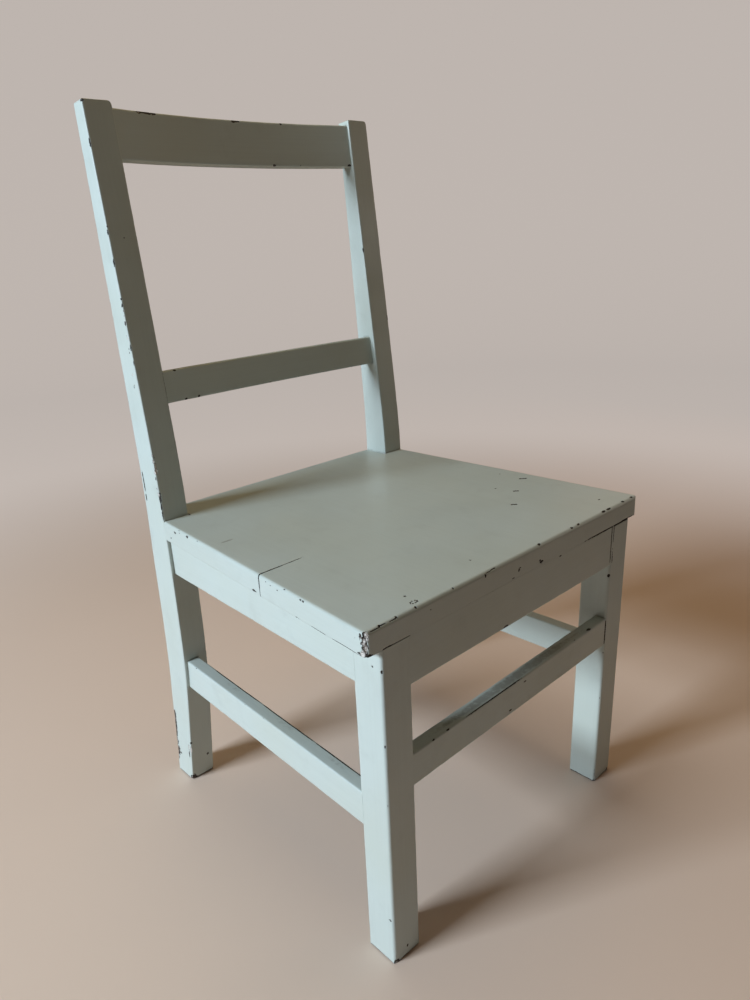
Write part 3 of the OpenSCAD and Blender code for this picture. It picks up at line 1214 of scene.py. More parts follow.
@dataclass
class SeatBoard(Timber):
    """One of the two boards of the seat: it narrows to the back, and may have notches.

    Args:
        post: the right post, which the seat is notched round.
        front_board: True for the board with the seat's front edge.
        edge: rounding of the seat's upper edges.
        front_edge: rounding of its upper front edge, worn by legs.
        side_under: rounding of its lower side edges.
        corner: rounding of its two front corners seen from above.
        under: rounding of the lower front edge, which is filled with paint.
        notch_gap: clearance between the seat and the inner face of a post.
        slot: its material slot, which picks its paint.
        margin: width of the band beside each notch where the mesh lines are squeezed.
    """

    # What the rounded front corners take off half the seat's box, and the gap before a post.
    CORNER_LOSS = 0.47
    NOTCH_CLEARANCE = 0.1

    slot: str = "painted_seat"
    post: BackPost | None = None
    front_board: bool = True
    edge: float = 3.0
    front_edge: float = 4.5
    corner: float = 7.0
    under: float = 0.06
    side_under: float = 1.2
    notch_gap: float = 0.25
    margin: float = 24.0
    AXES: ClassVar[tuple[int, int, int]] = (1, 2, 0)

    def __post_init__(self) -> None:
        """Takes the seat's plan from the frame."""
        self.low, self.high = (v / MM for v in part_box(self.name))
        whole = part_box("seat_board_front")
        self.front = whole[0].y / MM
        self.half_front = whole[1].x / MM + self.CORNER_LOSS
        self.notch = float(self.post.front_at(self.high.z)) - self.NOTCH_CLEARANCE
        self.half_notch = self.post.outer
        self.inner = self.post.outer - self.post.width - self.notch_gap
        self.arris = self.edge

    def half_width(self, y: Array) -> Array:
        """Half the seat's width at a distance y in the chair's frame.

        Args:
            y: distances in mm.

        Returns:
            The half width at each.
        """
        taper = (self.half_front - self.half_notch) / (self.notch - self.front)
        width = self.half_front - taper * (y - self.front)
        return np.where(y > self.notch, self.inner, width)

    def span(self) -> tuple[float, float]:
        """From the board's front edge to its back edge."""
        return 0.0, self.high.y - self.low.y

    def ends(self) -> tuple[EndRound, EndRound]:
        """The seat's front and back edges are rounded; the joint between boards isn't.

        Returns:
            The rounding of the low end and of the high end.
        """
        if self.front_board:
            return EndRound(self.under, self.front_edge, self.corner, self.corner), EndRound()
        return EndRound(), EndRound(self.edge, self.edge, 1.0, 1.0)

    def edge_distance(self, own: Array) -> Array:
        """The lower front arris doesn't wear, as paint bridges it to the apron.

        Args:
            own: points in the board's own coordinates.

        Returns:
            One distance for each point.
        """
        distance = super().edge_distance(own)
        covered = self.front_board & (own[:, 1] < 0) & (own[:, 0] < 10)
        return np.where(covered, self.half_sizes(own[:, 0])[1] - np.abs(own[:, 2]), distance)

    def rounding(self, along: Array) -> Array:
        """The upper long edges are worn rounder than the lower ones.

        Args:
            along: places along the timber.

        Returns:
            Four rows of radii, one for each long edge.
        """
        radii = super().rounding(along)
        radii[[0, 2]] = self.side_under
        return radii

    def stations(self) -> Array:
        """Adds a pair of stations where the notches start.

        Returns:
            The places in mm, sorted.
        """
        stations = super().stations()
        start = self.notch - self.low.y
        if self.front_board or start > stations[-1]:
            return stations
        kept = stations[np.abs(stations - start) > 0.6]
        return np.sort(np.append(kept, [start, start + 0.05]))

    def half_sizes(self, along: Array) -> Pair:
        """Thickness in a, the seat's width in b."""
        half = (self.high.z - self.low.z) / 2
        return np.full(len(along), half), self.half_width(self.low.y + along)

    def shares(self, size: float, stations: Array, in_b: bool) -> Array:
        """Keeps the inner lines straight and squeezes only those beside the notches.

        Args:
            size: the board's size on that side.
            stations: places along the board.
            in_b: True for the sides that run in b.

        Returns:
            Each line's share of the flat, at each station.
        """
        spread = super().shares(size, stations, in_b)
        if not in_b:
            return spread
        half = self.half_sizes(stations)[1]
        radius = self.arris
        flat = half - radius
        even = (spread[:, :1] * 2 - 1) * (self.half_front - radius)
        limit = self.inner - self.margin
        outside = np.clip(np.abs(even) - limit, 0, None) / (self.half_front - radius - limit)
        place = np.sign(even) * (np.minimum(np.abs(even), limit) + outside * (flat - limit))
        return (place / flat + 1) / 2

    def place(self, along: Array, a: Array, b: Array) -> Array:
        """a runs up and b to the chair's right."""
        middle = (self.low.z + self.high.z) / 2
        return np.stack([b, self.low.y + along, middle + a], axis=1)


@dataclass
class BowedRail(Timber):
    """A back rail bowed back between the posts, swept along an arc by Geometry Nodes.

    Args:
        post: the right post.
        level: height of its middle.
        height: height of its face.
        thickness: its thickness.
        bow: how far its middle is bowed back.
        setback: how far its ends lie behind the front of the posts.
        into_post: how far it runs on into each post.
    """

    post: BackPost | None = None
    level: float = 0.0
    height: float = 40.0
    thickness: float = 14.0
    bow: float = 10.0
    setback: float = 8.0
    into_post: float = 4.0

    def __post_init__(self) -> None:
        """Works out the arc between the posts."""
        half = self.post.outer - self.post.width
        self.radius = (half * half + self.bow * self.bow) / (2 * self.bow)
        self.half_length = half + self.into_post

    def span(self) -> tuple[float, float]:
        """Along the arc, counted from the middle."""
        reach = self.radius * math.asin(self.half_length / self.radius)
        return -reach, reach

    def half_sizes(self, along: Array) -> Pair:
        """Thickness in a, height in b."""
        return self.even(along, self.thickness, self.height)

    def base_points(self) -> Pair:
        """Sweeps the rail with Geometry Nodes and reads it back in its own coordinates.

        Returns:
            The points' own coordinates, and the faces, each as its point numbers.
        """
        swept = RailSweep(self).mesh()
        flat = np.zeros(len(swept.vertices) * 3)
        swept.vertices.foreach_get("co", flat)
        x, y, z = flat.reshape(-1, 3).T / MM
        centre = self.bow - self.radius
        angle = np.arctan2(x, y - centre)
        out = np.hypot(x, y - centre) - self.radius - self.thickness / 2
        faces = [tuple(p.vertices) for p in swept.polygons]
        bpy.data.meshes.remove(swept)
        return np.stack([angle * self.radius, out, z], axis=1), faces

    def place(self, along: Array, a: Array, b: Array) -> Array:
        """a runs to the back and b up, both leaning with the posts.

        Args:
            along: distance along the timber.
            a: distance across it.
            b: distance across it, the other way.

        Returns:
            The points in the chair's frame in mm, one a row.
        """
        angle = along / self.radius
        out = self.radius + self.thickness / 2 + a
        x = out * np.sin(angle)
        deep = self.bow - self.radius + out * np.cos(angle)
        lean = self.post.rake
        y = float(self.post.front_at(self.level)) + self.setback
        y = y + deep * math.cos(lean) + b * math.sin(lean)
        z = self.level - deep * math.sin(lean) + b * math.cos(lean)
        return np.stack([x, y, z], axis=1)


class RailSweep(NodeWriter):
    """Geometry Nodes that sweep a rounded bar along the arc of a bowed rail."""

    def __init__(self, rail: BowedRail) -> None:
        """Builds the tree for one rail.

        Args:
            rail: the rail whose sizes it takes.
        """
        centre = rail.bow - rail.radius
        middle_line = rail.radius + rail.thickness / 2
        reach = rail.half_length / rail.radius
        self.values = {
            "Half Span": middle_line * reach * MM,
            "Middle": (centre + middle_line) * MM,
            "End": (centre + middle_line * math.sqrt(1 - reach * reach)) * MM,
            "Height": rail.height * MM,
            "Thickness": rail.thickness * MM,
            "Arris": rail.arris * MM,
            "Cell": rail.cell * MM,
        }
        self.name = rail.name
        super().__init__(bpy.data.node_groups.new(rail.name + "_sweep", "GeometryNodeTree"))
        self.sockets = {}
        for name in self.values:
            socket = self.tree.interface.new_socket(name, in_out="INPUT", socket_type="NodeSocketFloat")
            self.sockets[name] = socket.identifier
        self.tree.interface.new_socket("Mesh", in_out="OUTPUT", socket_type="NodeSocketGeometry")
        self._wire()

    def _wire(self) -> None:
        """Joins arc, profile and sweep; the Set Material node at the end is given no material."""
        given = self.add("NodeGroupInput").outputs
        minus = self.add("ShaderNodeMath", {0: given["Half Span"], 1: -1.0}, operation="MULTIPLY")
        start = self.add("ShaderNodeCombineXYZ", {"X": minus.outputs[0], "Y": given["End"]})
        middle = self.add("ShaderNodeCombineXYZ", {"Y": given["Middle"]})
        finish = self.add("ShaderNodeCombineXYZ", {"X": given["Half Span"], "Y": given["End"]})
        arc = self.add(
            "GeometryNodeCurveArc",
            {"Resolution": 256, "Start": start.outputs[0], "Middle": middle.outputs[0],
             "End": finish.outputs[0]},
            mode="POINTS",
        )
        even = self.add(
            "GeometryNodeResampleCurve", {"Curve": arc.outputs["Curve"], "Length": given["Cell"]},
            mode="LENGTH",
        )
        upright = self.add("GeometryNodeSetCurveNormal", {"Curve": even.outputs[0]}, mode="Z_UP")
        profile = self.add(
            "GeometryNodeCurvePrimitiveQuadrilateral",
            {"Width": given["Thickness"], "Height": given["Height"]},
            mode="RECTANGLE",
        )
        eased = self.add(
            "GeometryNodeFilletCurve",
            {"Curve": profile.outputs[0], "Radius": given["Arris"], "Count": 6},
            mode="POLY",
        )
        half_cell = self.add("ShaderNodeMath", {0: given["Cell"], 1: 0.5}, operation="MULTIPLY")
        ring = self.add(
            "GeometryNodeResampleCurve", {"Curve": eased.outputs[0], "Length": half_cell.outputs[0]},
            mode="LENGTH",
        )
        sweep = self.add(
            "GeometryNodeCurveToMesh",
            {"Curve": upright.outputs[0], "Profile Curve": ring.outputs[0], "Fill Caps": True},
        )
        real = self.add("GeometryNodeRealizeInstances", {"Geometry": sweep.outputs[0]})
        dressed = self.add("GeometryNodeSetMaterial", {"Geometry": real.outputs[0]})
        self.add("NodeGroupOutput", {"Mesh": dressed.outputs[0]})

    def mesh(self) -> bpy.types.Mesh:
        """The swept rail as a plain mesh, lying flat in its own frame."""
        return run_tree(self.name + "_swept", self.tree, self.sockets, self.values)


def run_tree(
    name: str, tree: bpy.types.NodeTree, sockets: dict[str, str], values: dict[str, object]
) -> bpy.types.Mesh:
    """Runs a Geometry Nodes tree on an empty object.

    Args:
        name: name of the result.
        tree: the node tree.
        sockets: input name to socket identifier.
        values: input name to value.

    Returns:
        The result as a plain mesh.
    """
    holder = bpy.data.objects.new(name, bpy.data.meshes.new(name))
    bpy.context.scene.collection.objects.link(holder)
    modifier = holder.modifiers.new("tree", "NODES")
    modifier.node_group = tree
    for key, value in values.items():
        modifier[sockets[key]] = value
    graph = bpy.context.evaluated_depsgraph_get()
    graph.update()
    mesh = bpy.data.meshes.new_from_object(holder.evaluated_get(graph))
    bpy.data.objects.remove(holder)
    return mesh


# ---------- weathering ----------


class DamageSurvey:
    """Where the chair's paint is damaged, in the chair's own frame in mm."""

    def __init__(
        self, legs: dict[Side, FrontLeg], posts: dict[Side, BackPost], seat: SeatBoard
    ) -> None:
        """Keeps the parts that the marks are placed on.

        Args:
            legs: the front legs.
            posts: the back posts.
            seat: the seat's front board.
        """
        self.leg, self.right_leg = legs[Side.LEFT], legs[Side.RIGHT]
        self.post, self.right_post = posts[Side.LEFT], posts[Side.RIGHT]
        self.front, self.joint = seat.low.y, seat.high.y
        self.under, self.top = seat.low.z, seat.high.z
        self.half_seat = seat.half_width
        self.round = seat.front_edge
        self.random = np.random.default_rng(SEED)

    def seat_side(self, y: float) -> float:
        """Place of the seat's left side at y."""
        return -float(self.half_seat(np.array([y]))[0])

    def seat_front(self) -> list[Mark]:
        """The front board: its worn corner, chipped arris, cracks and knocks.

        Returns:
            Its marks.
        """
        edge, top, under = self.front, self.top, self.under
        corner = self.seat_side(edge) + 2.1
        marks = [
            Mark((corner, edge + 2.2, 407), (3.2, 3.2, 15), 0.8),
            Mark((corner - 1.5, edge + 4.5, 396), (4, 6, 2.2), 0.6),
            Mark((corner + 3.5, edge, 395), (5, 2, 1.8), 0.6),
            Mark((corner - 2.1, edge + 14, 411), (0.9, 1.3, 2.6), 0.3),
            Mark((corner - 2.1, edge + 18, 413), (0.9, 1.2, 1.2), 0.3, Damage.FLAKE),
        ]
        worn = (corner, edge + 2.5, 414)
        marks += scattered(self.random, worn, (3.5, 4, 4), [1.5, 2.2, 1.3, 2.6, 1.8, 1.2] * 2, 0.62)
        worn = (corner, edge + 2.5, 404)
        marks += scattered(self.random, worn, (2.5, 3, 9), [1.4, 1.9, 1.1, 1.6] * 3, 0.62)
        for x, half, down in ((-228, 7, 1.6), (-219, 5, 1.0), (-205, 5, 1.3), (-65, 5, 1.8), (-57, 4, 1.2)):
            back = self.round - math.sqrt(self.round**2 - (self.round - down) ** 2)
            marks.append(Mark((x, edge + back, top - down), (half, 0.7, 0.55), 0.35, Damage.CRACK))
        for x, half, back in ((-222, 1.2, 1.6), (-200, 1.4, 1.6), (-174, 1.3, 1.6), (-120, 1.4, 1.6),
                              (27, 2.4, 2.4), (92, 2.4, 2), (107, 3.2, 2.6), (163, 4, 2.6), (175, 4.4, 2.8),
                              (209, 3, 3), (231, 3.4, 3.4)):
            marks.append(Mark((x, edge + back, top - 0.7), (half, 1.9, 1.3), 0.55))
        for turn in np.linspace(0, 2 * math.pi, 8, endpoint=False):
            at = (-168 + 4.4 * math.cos(turn), edge + 10 + 2.4 * math.sin(turn), top)
            marks.append(Mark(at, (1.3, 1.1, 0.9), 0.3))
        for x, y, half in ((209, -87.5, 5), (159, -112.5, 3.4), (114, -142.6, 3.6)):
            for step in (-0.6, 0, 0.6):
                at = (x + step * half, y - 0.8 * step * half, top)
                marks.append(Mark(at, (0.55 * half, 1.9, 1.2), 0.45))
        for x, y, half in ((197, -215, 2.8), (-165, -219, 1.4), (-57, -212, 1.4), (150, -85, 1.5)):
            marks.append(Mark((x, y, top), (half, min(half, 1.5), 1.0), 0.35))
        for x, z, half, high in ((29, 398, 4, 1.8), (26, 401, 1.5, 1.6), (-13, 402.5, 1.6, 1.6),
                                 (-11, 404.5, 1.8, 0.9), (-23, 396.4, 2.2, 0.9), (-155, 410, 1.0, 1.0),
                                 (-71, 416.5, 1.2, 3.0)):
            marks.append(Mark((x, edge, z), (half, 1.2, high), 0.4))
        marks += [
            Mark((-214, edge, under + 0.2), (9, 1.6, 1.4), 0.8),
            Mark((-199, edge, under + 0.2), (15, 1.4, 0.7), 0.8, Damage.CRACK),
            Mark((172, edge, under + 0.2), (54, 1.4, 0.7), 0.8, Damage.CRACK),
            Mark((215, edge, under + 0.2), (14, 1.8, 1.6), 0.9),
        ]
        for y, half, size in ((-213, 22, 0.7), (-172, 13, 0.6)):
            marks.append(Mark((self.seat_side(y), y, under + 0.8), (2.4, half, size), 0.4, Damage.CRACK))
        for y, z in ((-144, 418), (-148.5, 418), (-80, 416.5), (-89, 415), (-102, 414)):
            long, high = (2.0, 1.4) if y < -120 else (0.9, 0.6)
            marks.append(Mark((self.seat_side(y), y, z), (1.0, long, high), 0.35))
        marks.append(Mark((self.seat_side(-135), -135, under + 0.5), (1.2, 2.0, 1.5), 0.5))
        return marks + self.open_joint()

    def open_joint(self) -> list[Mark]:
        """The end of the joint between the seat's boards, where the paint has cracked.

        Returns:
            Its marks.
        """
        side, joint = self.seat_side(self.joint), self.joint
        return [
            Mark((side + 16, joint, self.top), (18, 0.95, 1.2), 0.8, Damage.CRACK),
            Mark((side + 40, joint, self.top), (22, 0.6, 0.9), 0.5, Damage.CRACK),
            Mark((side + 1, joint, self.top - 1), (3.5, 0.95, 3.5), 0.7, Damage.CRACK),
            Mark((side, joint, self.top - 9), (1.2, 0.9, 8), 0.7, Damage.CRACK),
            Mark((side, joint, self.under + 5), (1.0, 0.6, 6), 0.4, Damage.CRACK),
        ]

    def seat_back(self) -> list[Mark]:
        """The back board: knocks on its left side, dents and a scuff.

        Returns:
            Its marks.
        """
        marks = self.open_joint()
        for y, z, size in ((133, 413, 1.7), (99, 417, 1.7), (73, 419, 1.3), (147, 402, 1.0),
                           (120, 416, 0.7)):
            marks.append(Mark((self.seat_side(y), y, z), (1.2, 1.6 * size, size), 0.5))
        inner = -(self.post.outer - self.post.width)
        return marks + [
            Mark((self.seat_side(-53), -53, 397.2), (1.4, 4.6, 1.3), 0.6),
            Mark((206, -49, self.top), (1.4, 0.9, 0.8), 0.3),
            Mark((-200, 42, self.top), (14, 3.0, 1.5), 0.2, Damage.SCUFF),
            Mark((inner, 160, self.top), (1.7, 1.7, 1.7), 0.8),
        ]

    def front_apron(self) -> list[Mark]:
        """The apron: a nick below, open joints above and at its right end.

        Returns:
            Its marks.
        """
        front = self.front + 0.6
        end = float(self.right_leg.outer_at(369)) - self.right_leg.width
        return [
            Mark((-34, front, 341.5), (4.8, 1.8, 1.9), 0.5),
            Mark((172, front, self.under - 0.4), (54, 1.4, 0.6), 0.6, Damage.CRACK),
            Mark((end - 0.8, front, 369), (1.1, 1.4, 27), 0.6, Damage.CRACK),
        ]

    def foot(self, leg: FrontLeg | BackPost, x: float, y: float) -> list[Mark]:
        """The worn rim of a foot with its corner at x and y, and the edges beside it.

        Args:
            leg: the leg or post.
            x: where its outer corner is, across.
            y: where that corner is, front to back.

        Returns:
            Its marks.
        """
        inward = -math.copysign(1, x)
        width = leg.width
        return [
            Mark((x + inward * 3, y + 0.4, 2), (4.6, 2.6, 4.2), 0.8),
            Mark((x + inward * width / 2, y, 0.3), (width / 2, 1.6, 1.9), 0.5, Damage.CRACK),
            Mark((x, y + width / 2, 0.3), (1.4, width / 2, 1.7), 0.4, Damage.CRACK),
            Mark((x + inward * width, y + width / 2, 0.3), (1.4, width / 2, 1.9), 0.4, Damage.CRACK),
            Mark((x + inward * width, y + 0.6, 1.0), (2.2, 2.4, 2.6), 0.6),
        ]

    def front_leg(self, leg: FrontLeg, marks: Sequence[tuple[float, float, float]]) -> list[Mark]:
        """A front leg: chips along its outer front arris, and a worn foot.

        Args:
            leg: the leg.
            marks: height, share of the way from the outer to the inner arris, and half width.

        Returns:
            The marks.
        """
        found = []
        for z, share, size in marks:
            x = leg.side.value * (float(leg.outer_at(z)) - 0.4 - share * (leg.width - 0.8))
            edge = 0.6 if share in (0, 1) else 0
            found.append(Mark((x, float(leg.front_at(z)) + edge, z), (size, size, 1.5 * size)))
        x = leg.side.value * (float(leg.outer_at(0)))
        return found + self.foot(leg, x, float(leg.front_at(0)))

    def left_leg(self) -> list[Mark]:
        """The left front leg.

        Returns:
            Its marks.
        """
        marks = self.front_leg(self.leg, ((371, 0, 1.6), (287, 0, 1.4), (289, 1, 1.5), (13, 0.5, 1.5)))
        for y, z, size in ((-231, 373, 1.1), (-236, 62, 1.7), (-240, 11, 1.1)):
            marks.append(Mark((-float(self.leg.outer_at(z)), y, z), (0.9, 1.3 * size, size), 0.3))
        return marks

    def right_leg_marks(self) -> list[Mark]:
        """The right front leg, with the paint torn along its joint with the apron.

        Returns:
            Its marks.
        """
        leg = self.right_leg
        marks = self.front_leg(leg, ((325, 1, 2.1), (211, 1, 1.2), (140, 1, 1.0), (30, 0, 1.4)))
        inner = float(leg.outer_at(369)) - leg.width
        for aside, z, half in ((2.0, 356, 15), (3.4, 352, 11), (4.4, 347, 6)):
            marks.append(Mark((inner + aside, leg.front + 0.4, z), (1.0, 1.6, half), 0.7))
        low = 12
        foot = (float(leg.outer_at(low)) - leg.width + 0.4, float(leg.front_at(low)) + 0.4, low)
        return marks + [
            Mark((inner + 3.4, leg.front + 0.2, 383), (1.3, 1.4, 12), 0.5, Damage.CRACK),
            Mark((inner + 20, leg.front, self.under - 0.4), (20, 1.4, 1.0), 0.7, Damage.CRACK),
            Mark(foot, (1.0, 1.0, 13), 0.5, Damage.CRACK),
        ]

    def arris(
        self, post: BackPost, z: float, outer: bool, front: bool, size: float, length: float,
        kind: Damage = Damage.CHIP,
    ) -> Mark:
        """A mark on one of a post's long arrises.

        Args:
            post: the post.
            z: height of the mark's middle.
            outer: True for the side away from the seat.
            front: True for the front.
            size: its reach across the arris.
            length: its reach along it.
            kind: what sort of damage it is.

        Returns:
            The mark.
        """
        x = post.side.value * (post.outer - (0.4 if outer else post.width - 0.4))
        y = float(post.front_at(z)) + 0.4 if front else float(post.back_at(z)) - 0.4
        return Mark((x, y, z), (size, size, length), 0.6, kind)

    def left_post(self) -> list[Mark]:
        """The left post: flaking above the seat, chips up its arrises, a worn foot.

        Returns:
            Its marks.
        """
        post = self.post
        edge = -post.outer + 0.6
        marks = scattered(
            self.random, (edge, float(post.front_at(482)) + 0.6, 482), (1.8, 2.0, 30),
            [1.2, 1.7, 1.0, 1.4, 0.9] * 9, 0.88)
        marks += scattered(
            self.random, (edge, float(post.front_at(690)) + 0.4, 690), (0.7, 0.9, 110),
            [0.8, 1.2, 1.0, 1.4] * 8, 0.4)
        for z, size, length in ((451, 2.2, 7), (440, 1.2, 6), (429, 1.0, 7)):
            marks.append(self.arris(post, z, True, True, size, length))
        for z, outer, front, size, length in (
            (868, True, True, 1.2, 5), (772, True, True, 1.3, 3), (738, True, True, 1.2, 4),
            (640, True, True, 1.2, 4), (70, True, True, 1.8, 2.4), (912, True, True, 2.6, 1.6),
            (690, True, False, 1.4, 3),
        ):
            marks.append(self.arris(post, z, outer, front, size, length))
        for z, length in ((218, 5), (206, 2.5), (229, 2.5)):
            marks.append(self.arris(post, z, False, True, 1.4, length, Damage.FLAKE))
        marks.append(self.arris(post, 58, True, True, 1.8, 6, Damage.FLAKE))
        for z, length in ((575, 38), (498, 34)):
            marks.append(self.arris(post, z, False, True, 0.7, length, Damage.CRACK))
        outside = -post.outer
        for z, length in ((467, 14), (445, 5), (86, 22)):
            high = z > 400
            middle = float(post.back_at(z)) - (5.5 if high else 1.5)
            reach = (0.7, 1.3, length) if high else (1.6, 5, length + 4)
            marks.append(Mark((outside, middle, z), reach, 0.4, Damage.CRACK))
        for z, deep, half in ((38, 9, 12), (54, 6, 11), (26, 5, 8)):
            marks.append(Mark((outside + 0.5, float(post.back_at(z)) + 0.5, z), (3.6, deep, half), 0.6))
        front_foot = float(post.front_at(0))
        marks += [
            Mark((outside, float(post.back_at(36)) - 11, 36), (1.2, 2.4, 1.8), 0.5),
            Mark((outside, float(post.front_at(47)) + 5, 47), (0.9, 1.6, 6), 0.4),
            Mark((outside, float(post.front_at(60)) + 6, 60), (0.9, 1.6, 5), 0.3, Damage.FLAKE),
            Mark((-198, float(post.front_at(765)), 765), (1.1, 0.9, 1.3), 0.3),
            Mark((-190, float(post.front_at(35)), 35), (1.9, 1.4, 2.6), 0.5),
            Mark((outside + 2, front_foot + 1, 4), (6, 4, 6), 0.8),
        ]
        return marks + self.foot(post, outside, front_foot)

    def right_post_marks(self) -> list[Mark]:
        """The right post.

        Returns:
            Its marks.
        """
        post = self.right_post
        marks = [self.arris(post, 734, False, True, 1.3, 3.5), self.arris(post, 727, True, True, 1.2, 3),
                 self.arris(post, 727, False, False, 1.2, 2.5)]
        return marks + self.foot(post, post.outer, float(post.front_at(0)))

    def rail(self, rail: BowedRail, spots: Sequence[tuple[float, int, float]]) -> list[Mark]:
        """Nicks along the front arrises of a back rail.

        Args:
            rail: the rail.
            spots: place across the chair, 1 for the upper arris or -1 for the lower, half length.

        Returns:
            The marks.
        """
        marks = []
        for x, up, half in spots:
            own = (np.array([v]) for v in (x, -rail.thickness / 2, up * (rail.height / 2 - 1.2)))
            at = rail.place(*own)[0]
            marks.append(Mark(tuple(at), (half, 1.8, 2.0), 0.5))
        return marks

    def front_stretcher(self, bar: FrontPiece) -> list[Mark]:
        """The front stretcher: knocks and scuffs by heels along its top, and a split.

        Args:
            bar: the stretcher.

        Returns:
            Its marks.
        """
        marks = []
        for x, up, half in ((-153, 1, 2.2), (-131, 1, 3.0), (5, 0.62, 3.4), (-23, -0.7, 2.6)):
            z = bar.level + bar.rise * x / (2 * bar.half_length) + up * (bar.height / 2 - 0.3)
            y = float(bar.leg.front_at(z)) + (0.5 if up > 0 else 0)
            marks.append(Mark((x, y, z), (half, 1.4, 1.3), 0.5))
        z = bar.level + bar.height / 2
        y = float(bar.leg.front_at(z))
        return marks + [
            Mark((-50, y + 0.6, z - 1.2), (50, 0.8, 0.7), 0.5, Damage.CRACK),
            Mark((144, y + 2.4, z + 2), (4.6, 2.2, 1.1), 0.45),
            Mark((-10, y + 8, z), (210, 9, 5), 0.2, Damage.SCUFF),
            Mark((bar.half_length - 0.2, y + 0.4, bar.level + 2), (1.6, 1.4, 19), 0.6, Damage.CRACK),
        ]

    def left_stretcher(self, bar: SidePiece) -> list[Mark]:
        """The left stretcher: a thin worn line and scuffs along its top.

        Args:
            bar: the stretcher.

        Returns:
            Its marks.
        """
        marks = []
        for along, half in ((50, 46), (150, 52), (262, 56)):
            own = (np.array([v]) for v in (along, bar.top - bar.level - 0.1, bar.thickness / 2 - 1.6))
            marks.append(Mark(tuple(bar.place(*own)[0]), (1.0, half, 0.9), 0.3, Damage.CRACK))
            own = (np.array([v]) for v in (along, bar.top - bar.level - 3.2, 2.0))
            marks.append(Mark(tuple(bar.place(*own)[0]), (9, half + 10, 5), 0.2, Damage.SCUFF))
        return marks


class Joinery:
    """Knows where the chair's parts meet, so that the paint can darken there: painted shade, with some dirt.
    """

    def __init__(self, nodes: dict[str, bpy.types.Object]) -> None:
        """Keeps the frame's solids, by the name of their CAD node."""
        self.nodes = nodes

    def closeness(self, name: str, points: Array, normals: Array) -> Array:
        """How deep in a corner with another part each point lies.

        A probe is held off the surface, so that parts which meet flush don't count.

        Args:
            name: the part the points are on.
            points: places in the chair's frame in mm.
            normals: the surface's direction at each of them.

        Returns:
            1 in the corner itself, falling to 0.
        """
        corners, faces = [], []
        for other, node in self.nodes.items():
            if other in (name, "seat_screws"):
                continue
            shift = len(corners)
            corners += [v.co[:] for v in node.data.vertices]
            faces += [tuple(i + shift for i in p.vertices) for p in node.data.polygons]
        tree = BVHTree.FromPolygons(corners, faces)
        limit = CLOSE_TO_JOINT * MM
        near = np.zeros(len(points))
        for number, probe in enumerate((points + normals * CLOSE_TO_JOINT) * MM):
            distance = tree.find_nearest(probe, limit)[3]
            if distance is not None:
                near[number] = 1 - distance / limit
        return near


def settled(timber: Timber, own: Array) -> list[Mark]:
    """Turns the given marks to the timber's own coordinates.

    Args:
        timber: the timber.
        own: the points of its plain shape in its own coordinates.

    Returns:
        The marks, counted along, a and b.
    """
    axes = list(timber.AXES)
    points = timber.place(*own.T)
    moved = []
    for mark in timber.marks:
        nearest = np.argmin(((points - mark.at) ** 2).sum(1))
        at = own[nearest] + (np.array(mark.at) - points[nearest])[axes]
        moved.append(Mark(tuple(at), tuple(np.array(mark.reach)[axes]), mark.depth, mark.kind))
    return moved


